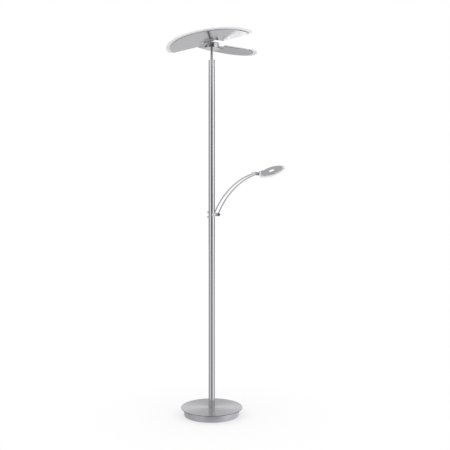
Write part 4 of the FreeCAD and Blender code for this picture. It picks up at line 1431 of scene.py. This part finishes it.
@dataclass
class Wing:
    """Half-round uplight: metal pan below, acrylic panel above, on a bracket.

    It is drawn level: the split lies along X, outwards is -Y, and the hinge axis is at Z = 0.
    """

    label: str
    body: Body
    yaw: float
    rise: float
    hinge: Vector
    radius: float = 189.5 * MM
    gap: float = 20 * MM
    corner_r: float = 12 * MM
    notch_r: float = 56 * MM
    notch_corner_r: float = 3 * MM
    rim_steps: int = 144
    corner_steps: int = 12
    notch_steps: int = 56
    notch_corner_steps: int = 10
    pan_low: float = 8.4 * MM
    pan_depth: float = 3.5 * MM
    pan_edge: float = 0.3 * MM
    sheet: float = 1.5 * MM
    overhang: float = 18 * MM
    panel_t: float = 4 * MM
    panel_corner_r: float = 14 * MM
    panel_edge: float = 0.9 * MM
    bracket_t: float = 2 * MM
    bracket_edge: float = 0.35 * MM
    screw_at: float = 24 * MM
    screw_out: float = 61 * MM
    screw_r: float = 1.5 * MM
    screw_head_r: float = 3 * MM
    screw_head_t: float = 1.8 * MM
    screw_face_r: float = 2.2 * MM
    screw_cross: Cross = Cross(1.5 * MM, 0.9 * MM)
    nut_bore_r: float = 1.55 * MM
    nut_across: float = 6 * MM
    nut_t: float = 1.2 * MM

    @property
    def place(self) -> Matrix:
        """Place of the drawing in the lamp.

        Returns:
            Matrix from the level drawing to the lamp.
        """
        yaw = Matrix.Rotation(math.radians(self.yaw), 4, "Z")
        rise = Matrix.Rotation(math.radians(self.rise), 4, "Y")
        return Matrix.Translation(self.hinge) @ yaw @ rise

    def build(self, frame: dict) -> None:
        """Make the wing's visible pieces.

        Args:
            frame: The loaded frame.
        """
        self.pan()
        self.panel()
        self.bracket(frame["nodes"][self.label + "_wing_bracket"])
        self.screws()

    def blank(self, name: str, radius: float, corner_r: float, low: float, thickness: float) -> Work:
        """Half-round plate with the notch for the hub and rounded corners.

        Args:
            name: Name of the piece.
            radius: Radius of its outer edge.
            corner_r: Radius of its outer corners.
            low: Height of its underside.
            thickness: Thickness of the plate.

        Returns:
            The blank.
        """
        split = self.gap / 2
        corner = Vector((0, -split - corner_r, low))
        corner.x = math.sqrt((radius - corner_r) ** 2 - corner.y ** 2)
        horn = Vector((0, -split - self.notch_corner_r, low))
        horn.x = math.sqrt((self.notch_r + self.notch_corner_r) ** 2 - horn.y ** 2)
        middle = Z_AXIS * low
        flip = Vector((-1, 1, 1))
        rim_end = math.atan2(corner.y, corner.x)
        horn_turn = math.atan2(-horn.y, -horn.x) - math.pi / 2
        notch_turn = math.pi + 2 * math.atan2(horn.y, horn.x)
        corner_turn = math.pi / 2 - rim_end
        start = (corner * flip).xy.normalized() * radius
        work = Work.point(name, Vector((start.x, start.y, low)))
        with work.editing():
            work.bend(middle, math.pi + 2 * rim_end, self.rim_steps)
            work.bend(corner, corner_turn, self.corner_steps)
            work.draw(X_AXIS * (horn.x - corner.x))
            work.bend(horn, horn_turn, self.notch_corner_steps)
            work.bend(middle, -notch_turn, self.notch_steps)
            work.bend(horn * flip, horn_turn, self.notch_corner_steps)
            work.draw(X_AXIS * (horn.x - corner.x))
            work.bend(corner * flip, corner_turn, self.corner_steps)
            work.merge()
            bpy.ops.mesh.edge_face_add()
            work.pull(Z_AXIS * thickness)
            bpy.ops.mesh.select_all(action="SELECT")
            bpy.ops.mesh.normals_make_consistent(inside=False)
        return work

    def pan(self) -> None:
        """Shallow metal tray with a lip."""
        pan = self.blank(self.label + "_wing_tray", self.radius, self.corner_r, self.pan_low, self.pan_depth)
        with pan.editing():
            pan.pick_faces(lambda middle, normal: normal.z > FACING)
            bpy.ops.mesh.inset(thickness=self.sheet)
            pan.pull(Z_AXIS * (self.sheet - self.pan_depth))
        pan.ease(self.pan_edge).set_down(self.place)
        pan.hand_over(self.body, Slot.SATIN, SATIN.material(self.place), self.label + "_wing_pan")

    def panel(self) -> None:
        """Acrylic light panel whose rim stands out beyond the tray."""
        low = self.pan_low + self.pan_depth
        panel = self.blank(self.label + "_wing_light", self.radius + self.overhang, self.panel_corner_r, low,
                           self.panel_t)
        panel.ease(self.panel_edge, ROUNDING).set_down(self.place)
        glow = WING_GLOW.material(self.place, low + self.panel_t)
        panel.hand_over(self.body, Slot.ACRYLIC, glow, self.label + "_wing_panel")

    def bracket(self, node: bpy.types.Object) -> None:
        """Bent steel bracket with eased edges."""
        bracket = Work.copied(self.label + "_wing_arm", node).ease(self.bracket_edge)
        bracket.hand_over(self.body, Slot.POLISHED, POLISHED.material(), node.name)

    def screws(self) -> None:
        """Two screws through the bracket, with their nuts on the board's side."""
        under = self.pan_low - self.bracket_t
        tip = under - self.screw_head_t
        seat = self.pan_low + self.sheet
        end = seat + self.nut_t
        profile = [(self.screw_face_r, tip), (self.screw_head_r, under), (self.screw_r, under),
                   (self.screw_r, end)]
        ring = ring_profile(self.nut_bore_r, hexagon_r(self.nut_across), seat, end)
        metal = PLATED.material()
        for number, side in enumerate((-1, 1), 1):
            spot = self.place @ Matrix.Translation((side * self.screw_at, -self.screw_out, 0))
            nut = Work.turned(f"{self.label}_wing_nut_{number}", ring, HEXAGON).ease(SCREW_EDGE, CHAMFER)
            nut.set_down(spot).hand_over(self.body, Slot.PLATED, metal, self.label + "_wing_screws")
            screw = self.screw_cross.screw(f"{self.label}_wing_screw_{number}", profile, tip, Z_AXIS)
            screw.set_down(spot).hand_over(self.body, Slot.PLATED, metal, self.label + "_wing_screws")


@dataclass
class Arm:
    """Bent pair of rods between a pivot on the pole and the elbow.

    Pieces of both pivots are drawn along the side axis, which is level and square to the arm.
    """

    pivot: Vector
    elbow: Vector
    side: Vector
    arc_r: float = 337 * MM
    rod_r: float = 3 * MM
    rod_at: float = 13.7 * MM
    rod_short: float = 5 * MM
    barrel_r: float = 7.5 * MM
    barrel_half: float = 8 * MM
    insulator_t: float = 1 * MM
    insulator_r: float = 6.9 * MM
    gap: float = 0.1 * MM
    knuckle_l: float = 9 * MM
    cap_t: float = 1 * MM
    cap_tip: float = 2 * MM
    cap_tip_r: float = 4.5 * MM
    cap_edge: float = 0.28 * MM
    pin_r: float = 2.5 * MM
    neck_r: float = 6 * MM
    neck_from: float = 13.6 * MM
    stud_r: float = 4 * MM
    stud_in: float = 4 * MM
    stud_out: float = 13.2 * MM
    edge: float = 0.4 * MM
    sides: int = 64
    neck_sides: int = 48
    rod_sides: int = 32
    rod_steps: int = 64

    @property
    def knuckle_in(self) -> float:
        """Distance of a knuckle's inner face from the arm's middle plane."""
        return self.barrel_half + self.insulator_t + self.gap

    @property
    def knuckle_out(self) -> float:
        """Distance of a knuckle's outer face from the arm's middle plane."""
        return self.knuckle_in + self.knuckle_l

    def build(self) -> None:
        """Make the arm's visible pieces."""
        metal = ARM_METAL.material(at(ORIGIN, self.side))
        # Painted shade and painted light: a dark and a light copy of the arm's nickel.
        dark = PAINTED_SHADE_METAL.material(at(ORIGIN, self.side))
        light = PAINTED_LIGHT_METAL.material(at(ORIGIN, self.side))
        self.bracket(metal)
        self.elbow_barrel(metal)
        for label, point, body, node in (("pivot", self.pivot, Body.STAND, "arm_insulators"),
                                         ("elbow", self.elbow, Body.ARM, "elbow_insulators")):
            for number, sign in enumerate((-1, 1), 1):
                place = at(point, self.side * sign)
                # Painted light on the knuckles and caps of the -side, painted shade on those of the pole
                # pivot's +side.
                finish = light if sign < 0 else (dark if label == "pivot" else metal)
                knuckle = self.sleeve(f"{label}_knuckle_{number}", self.barrel_r, self.knuckle_in,
                                      self.knuckle_out, place)
                knuckle.hand_over(Body.ARM, Slot.POLISHED, finish, "arm_knuckles")
                ring = self.sleeve(f"{label}_ring_{number}", self.insulator_r, self.barrel_half,
                                   self.barrel_half + self.insulator_t, place)
                ring.hand_over(body, Slot.BLACK, BLACK.material(), node)
                if label == "pivot" or sign < 0:
                    self.end_cap(f"{label}_cap_{number}", place, finish)
        for number, sign in enumerate((-1, 1), 1):
            self.arc(f"arm_bar_{number}", sign, metal)

    def sleeve(self, name: str, outer: float, start: float, end: float, place: Matrix) -> Work:
        """Ring round the pin between two distances along the side axis."""
        profile = ring_profile(self.pin_r + self.gap / 2, outer, start, end)
        return Work.turned(name, profile, self.sides).ease(self.edge).set_down(place)

    def barrel(self, name: str, point: Vector) -> Work:
        """Barrel in the middle of a pivot."""
        return self.sleeve(name, self.barrel_r, -self.barrel_half, self.barrel_half, at(point, self.side))

    def bracket(self, metal: bpy.types.Material) -> None:
        """Barrel of the pole's pivot, with its neck and stud.

        Args:
            metal: Finish of the piece.
        """
        out = Vector((self.pivot.x, self.pivot.y, 0))
        profile = [(self.stud_r, self.stud_in), (self.stud_r, self.stud_out), (self.neck_r, self.neck_from),
                   (self.neck_r, out.length)]
        neck = Work.turned("neck", profile, self.neck_sides)
        neck.set_down(at(Z_AXIS * self.pivot.z, out.normalized()))
        barrel = self.barrel("arm_socket", self.pivot).join([neck])
        barrel.hand_over(Body.STAND, Slot.POLISHED, metal, "arm_bracket")

    def elbow_barrel(self, metal: bpy.types.Material) -> None:
        """Barrel between the two knuckles of the elbow."""
        barrel = self.barrel("elbow_tube", self.elbow)
        barrel.hand_over(Body.ARM, Slot.POLISHED, metal, "elbow_barrel")

    def end_cap(self, name: str, place: Matrix, metal: bpy.types.Material) -> None:
        """Cap with a coned end on the pin.

        Args:
            name: Name of the cap.
            place: Place of the pivot, with Z along the side axis.
            metal: Finish of the cap.
        """
        start = self.knuckle_out
        profile = [(self.barrel_r, start), (self.barrel_r, start + self.cap_t),
                   (self.cap_tip_r, start + self.cap_t + self.cap_tip)]
        cap = Work.turned(name, profile, self.sides).ease(self.cap_edge).set_down(place)
        cap.hand_over(Body.ARM, Slot.POLISHED, metal, "arm_end_caps")

    def arc(self, name: str, sign: int, metal: bpy.types.Material) -> None:
        """Round bar bent to the arm's arc.

        Args:
            name: Name of the bar.
            sign: Side of the arm's middle plane.
            metal: Finish of the bar.
        """
        chord = self.elbow - self.pivot
        down = self.side.cross(chord).normalized()
        if down.z > 0:
            down = -down
        centre = (self.pivot + self.elbow) / 2 + down * math.sqrt(self.arc_r ** 2 - (chord.length / 2) ** 2)
        first = self.pivot - centre
        last = self.elbow - centre
        normal = first.cross(last).normalized()
        trim = self.rod_short / self.arc_r
        spoke = Matrix.Rotation(trim, 3, normal) @ first
        sideways = self.side * self.rod_at * sign
        start = centre + spoke + sideways
        bar = Work.circle(name, self.rod_r, start, self.rod_sides, normal.cross(spoke), filled=True)
        with bar.editing():
            bar.bend(centre + sideways, first.angle(last) - 2 * trim, self.rod_steps, normal)
            bar.merge()
            bpy.ops.mesh.normals_make_consistent(inside=False)
        bar.hand_over(Body.ARM, Slot.POLISHED, metal, "arm_rods")


@dataclass
class ReadingHead:
    """Turning cap and bent stem at the elbow, and the round light on it.

    The light is drawn level: the stem's axis lies along X at Z = 0, above the disc's centre.
    """

    elbow: Vector
    centre: Vector
    ahead: Vector
    side: Vector
    roll: float = math.radians(28)
    stem_r: float = 1.75 * MM
    rise: float = math.radians(60)
    bend_r: float = 7 * MM
    stem_start: float = 3.5 * MM
    stem_short: float = 0.1 * MM
    stem_sides: int = 24
    stem_steps: int = 12
    cap_in: float = 18.2 * MM
    cap_l: float = 5 * MM
    cap_r: float = 7.5 * MM
    cap_edge: float = 0.4 * MM
    cap_sides: int = 64
    pin_r: float = 2.5 * MM
    pin_head_r: float = 4 * MM
    pin_head_t: float = 1.6 * MM
    pin_head_off: float = 0.1 * MM
    pin_end: float = 20.1 * MM
    pin_edge: float = 0.2 * MM
    slot_half_l: float = 4.8 * MM
    slot_half_w: float = 0.5 * MM
    slot_depth: float = 0.8 * MM
    boss_r: float = 3.2 * MM
    boss_far: float = -50 * MM
    boss_near: float = -42 * MM
    boss_wall: float = 1 * MM
    boss_edge: float = 0.3 * MM
    foot_w: float = 9 * MM
    foot_l: float = 3 * MM
    play: float = 0.05 * MM
    bar_sides: int = 48
    cover_r: float = 47 * MM
    hole_r: float = 13 * MM
    cover_high: float = 1.4 * MM
    cover_low: float = -2.1 * MM
    cover_edge: float = 0.45 * MM
    sheet: float = 1.5 * MM
    panel_r: float = 56.7 * MM
    panel_low: float = -7.6 * MM
    panel_edge: float = 0.9 * MM
    sides: int = 160

    @property
    def place(self) -> Matrix:
        """Place of the level drawing in the lamp."""
        level = Matrix((self.ahead, self.side, Z_AXIS)).transposed().to_4x4()
        return Matrix.Translation(self.centre) @ level @ Matrix.Rotation(self.roll, 4, "X")

    def build(self) -> None:
        """Make the head's visible pieces."""
        metal = ARM_METAL.material(at(ORIGIN, self.side))
        self.turning_cap(metal)
        self.pin()
        self.stem(metal)
        self.boss(metal)
        self.cover()
        self.panel()

    def turning_cap(self, metal: bpy.types.Material) -> None:
        """Short barrel on the elbow's pin.

        Args:
            metal: Finish of the piece.
        """
        profile = ring_profile(self.pin_r + self.play, self.cap_r, self.cap_in, self.cap_in + self.cap_l)
        cap = Work.turned("elbow_turning_cap", profile, self.cap_sides).ease(self.cap_edge)
        cap.set_down(at(self.elbow, self.side))
        cap.hand_over(Body.HEAD_TURN, Slot.POLISHED, metal, "head_turning_cap")

    def pin(self) -> None:
        """Pin through the elbow, with a slotted flat head."""
        head_in = self.cap_in + self.cap_l + self.pin_head_off
        head_out = head_in + self.pin_head_t
        profile = [(self.pin_r, -self.pin_end), (self.pin_r, head_in), (self.pin_head_r, head_in),
                   (self.pin_head_r, head_out)]
        pin = Work.turned("elbow_pin_bolt", profile, self.bar_sides)
        slot = Work.box("slot", (-self.slot_half_l, -self.slot_half_w, head_out - self.slot_depth),
                        (self.slot_half_l, self.slot_half_w, head_out + MM))
        pin.cut_away(slot).ease(self.pin_edge).set_down(at(self.elbow, self.side))
        pin.hand_over(Body.ARM, Slot.PLATED, PLATED.material(), "elbow_pin")

    def stem(self, metal: bpy.types.Material) -> None:
        """Thin round bar that rises from the cap and bends level.

        Args:
            metal: Finish of the piece.
        """
        foot = self.elbow + self.side * (self.cap_in + self.cap_l / 2)
        height = self.centre.z - self.elbow.z
        up = (self.ahead * math.cos(self.rise) + Z_AXIS * math.sin(self.rise)).normalized()
        corner = foot + self.ahead * (height / math.tan(self.rise)) + Z_AXIS * height
        tangent = self.bend_r * math.tan(self.rise / 2)
        bend_start = corner - up * tangent
        bend_end = corner + self.ahead * tangent
        end = self.centre + self.ahead * (self.boss_near - self.boss_wall - self.stem_short)
        start = foot + up * self.stem_start
        stem = Work.circle("head_stem_bar", self.stem_r, start, self.stem_sides, up, filled=True)
        with stem.editing():
            stem.pull(bend_start - start)
            stem.bend(bend_end - Z_AXIS * self.bend_r, self.rise, self.stem_steps, self.side)
            stem.pull(end - bend_end)
            stem.merge()
            bpy.ops.mesh.normals_make_consistent(inside=False)
        stem.hand_over(Body.HEAD_TURN, Slot.POLISHED, metal, "head_stem")

    def boss(self, metal: bpy.types.Material) -> None:
        """Small barrel on the stem's end, with the foot that holds it under the cover.

        Args:
            metal: Finish of the piece.
        """
        barrel = self.bar("stem_boss", self.boss_r, self.boss_far, self.boss_near)
        barrel.fuse(Work.box("foot", (self.boss_near - self.foot_l, -self.foot_w / 2, self.cover_low),
                             (self.boss_near, self.foot_w / 2, self.cover_high - self.sheet)))
        bore_r = self.stem_r + self.play
        barrel.cut_away(self.bar("bore", bore_r, self.boss_far - MM, self.boss_near - self.boss_wall))
        barrel.ease(self.boss_edge).set_down(self.place)
        barrel.hand_over(Body.HEAD, Slot.POLISHED, metal, "head_swivel_boss")

    def bar(self, name: str, radius: float, start: float, end: float) -> Work:
        """Round bar along the stem's axis, in the level drawing."""
        bar = Work.turned(name, [(radius, start), (radius, end)], self.bar_sides)
        return bar.set_down(at(ORIGIN, X_AXIS))

    def boss_space(self) -> Work:
        """Cutter for the room of the stem's barrel."""
        radius = self.boss_r + self.play
        return self.bar("room", radius, self.boss_far - self.play, self.boss_near + self.play)

    def cover(self) -> None:
        """Ring-shaped metal cover with its round opening."""
        under = self.cover_high - self.sheet
        low, high = self.cover_low, self.cover_high
        hole_wall = self.hole_r + self.sheet
        rim_wall = self.cover_r - self.sheet
        profile = [(self.cover_r, low), (self.cover_r, high), (self.hole_r, high), (self.hole_r, low),
                   (hole_wall, low), (hole_wall, under), (rim_wall, under), (rim_wall, low),
                   (self.cover_r, low)]
        cover = Work.turned("reading_ring", profile, self.sides).cut_away(self.boss_space())
        cover.ease(self.cover_edge, ROUNDING).set_down(self.place)
        cover.hand_over(Body.HEAD, Slot.SATIN, COVER_METAL.material(self.place), "reading_cover")

    def panel(self) -> None:
        """Round acrylic disc, lit from the board above it."""
        profile = [(self.panel_r, self.panel_low), (self.panel_r, self.cover_low)]
        panel = Work.turned("reading_light", profile, self.sides).cut_away(self.boss_space())
        panel.ease(self.panel_edge, ROUNDING).set_down(self.place)
        glow = READING_GLOW.material(self.place, self.panel_low)
        panel.hand_over(Body.HEAD, Slot.ACRYLIC, glow, "reading_panel")


@dataclass
class Dimmer:
    """Small fluted knob on its shaft, on the left of the pole."""

    label: str
    body: Body
    spot: Vector
    face: float = 14.8 * MM
    length: float = 7 * MM
    radius: float = 5.5 * MM
    edge: float = 0.8 * MM
    corner_edge: float = 0.12 * MM
    flutes: int = 24
    flute_depth: float = 0.35 * MM
    dish_share: float = 0.5
    dish_floor_share: float = 0.42
    dish_depth: float = 0.35 * MM
    shaft_r: float = 2 * MM
    shaft_in: float = 5 * MM
    shaft_edge: float = 0.2 * MM
    shaft_sides: int = 32
    bore_depth: float = 5 * MM
    play: float = 0.05 * MM
    side_share: float = 0.9

    def build(self) -> None:
        """Make the knob and its shaft."""
        place = at(self.spot, -X_AXIS)
        end = self.face + self.length
        profile = [(self.shaft_r + self.play, self.face), (self.radius, self.face),
                   (self.radius, self.face + self.edge), (self.radius, end - self.edge),
                   (self.radius - self.edge, end), (self.radius * self.dish_share, end),
                   (self.radius * self.dish_floor_share, end - self.dish_depth)]
        knob = Work.turned(self.label + "_knob", profile, self.flutes * 2)
        with knob.editing():
            knob.pick_faces(self.in_flute)
            bpy.ops.mesh.extrude_faces_move(TRANSFORM_OT_shrink_fatten={"value": -self.flute_depth})
        knob.ease(self.corner_edge, CHAMFER).set_down(place)
        knob.hand_over(self.body, Slot.SATIN, KNOB_METAL.material(place), self.label + "_dimmer_knob")
        shaft_profile = [(self.shaft_r, self.shaft_in), (self.shaft_r, self.face + self.bore_depth)]
        shaft = Work.turned(self.label + "_shaft", shaft_profile, self.shaft_sides)
        shaft.ease(self.shaft_edge).set_down(place)
        shaft.hand_over(self.body, Slot.PLATED, PLATED.material(place), self.label + "_dimmer_shaft")

    def in_flute(self, middle: Vector, normal: Vector) -> bool:
        """Whether a face is one of those on the knob's side that become flutes.

        Args:
            middle: Middle of the face.
            normal: Its normal.

        Returns:
            True for every other strip of the side.
        """
        low = self.face + self.edge
        high = self.face + self.length - self.edge
        pitch = math.tau / (self.flutes * 2)
        upright = abs(normal.z) < 1 - FACING and middle.xy.length > self.radius * self.side_share
        strip = int(math.atan2(middle.y, middle.x) % math.tau / pitch)
        return upright and low < middle.z < high and strip % 2 == 0


def main() -> None:
    """Load the frame, dress its nodes and model the visible pieces of each sub-assembly in order."""
    logging.basicConfig(level=logging.INFO, format="%(message)s")
    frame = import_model()
    bpy.context.scene.view_settings.view_transform = "Standard"
    Studio().build()
    dress_nodes(frame)
    joints = {joint["name"]: joint for joint in frame["joints"]}
    spot = {name: Vector(joint["pos_m"]) for name, joint in joints.items()}
    axis = {name: Vector(joint["axis"]).normalized() for name, joint in joints.items()}
    Base().build()
    Pole().build()
    Hub(hinge=spot["near_wing_tilt"], side=axis["near_wing_tilt"]).build()
    Wing("near", Body.NEAR_WING, yaw=-20.0, rise=-8.0, hinge=spot["near_wing_tilt"]).build(frame)
    Wing("far", Body.FAR_WING, yaw=160.0, rise=-13.2, hinge=spot["far_wing_tilt"]).build(frame)
    Arm(spot["arm_lift"], spot["elbow_turn"], axis["arm_lift"]).build()
    ReadingHead(spot["elbow_turn"], spot["head_roll"], axis["head_roll"], axis["elbow_turn"]).build()
    Dimmer("main", Body.MAIN_DIMMER, spot["main_dimmer_spin"]).build()
    Dimmer("reading", Body.READING_DIMMER, spot["reading_dimmer_spin"]).build()


if __name__ == "__main__":
    main()
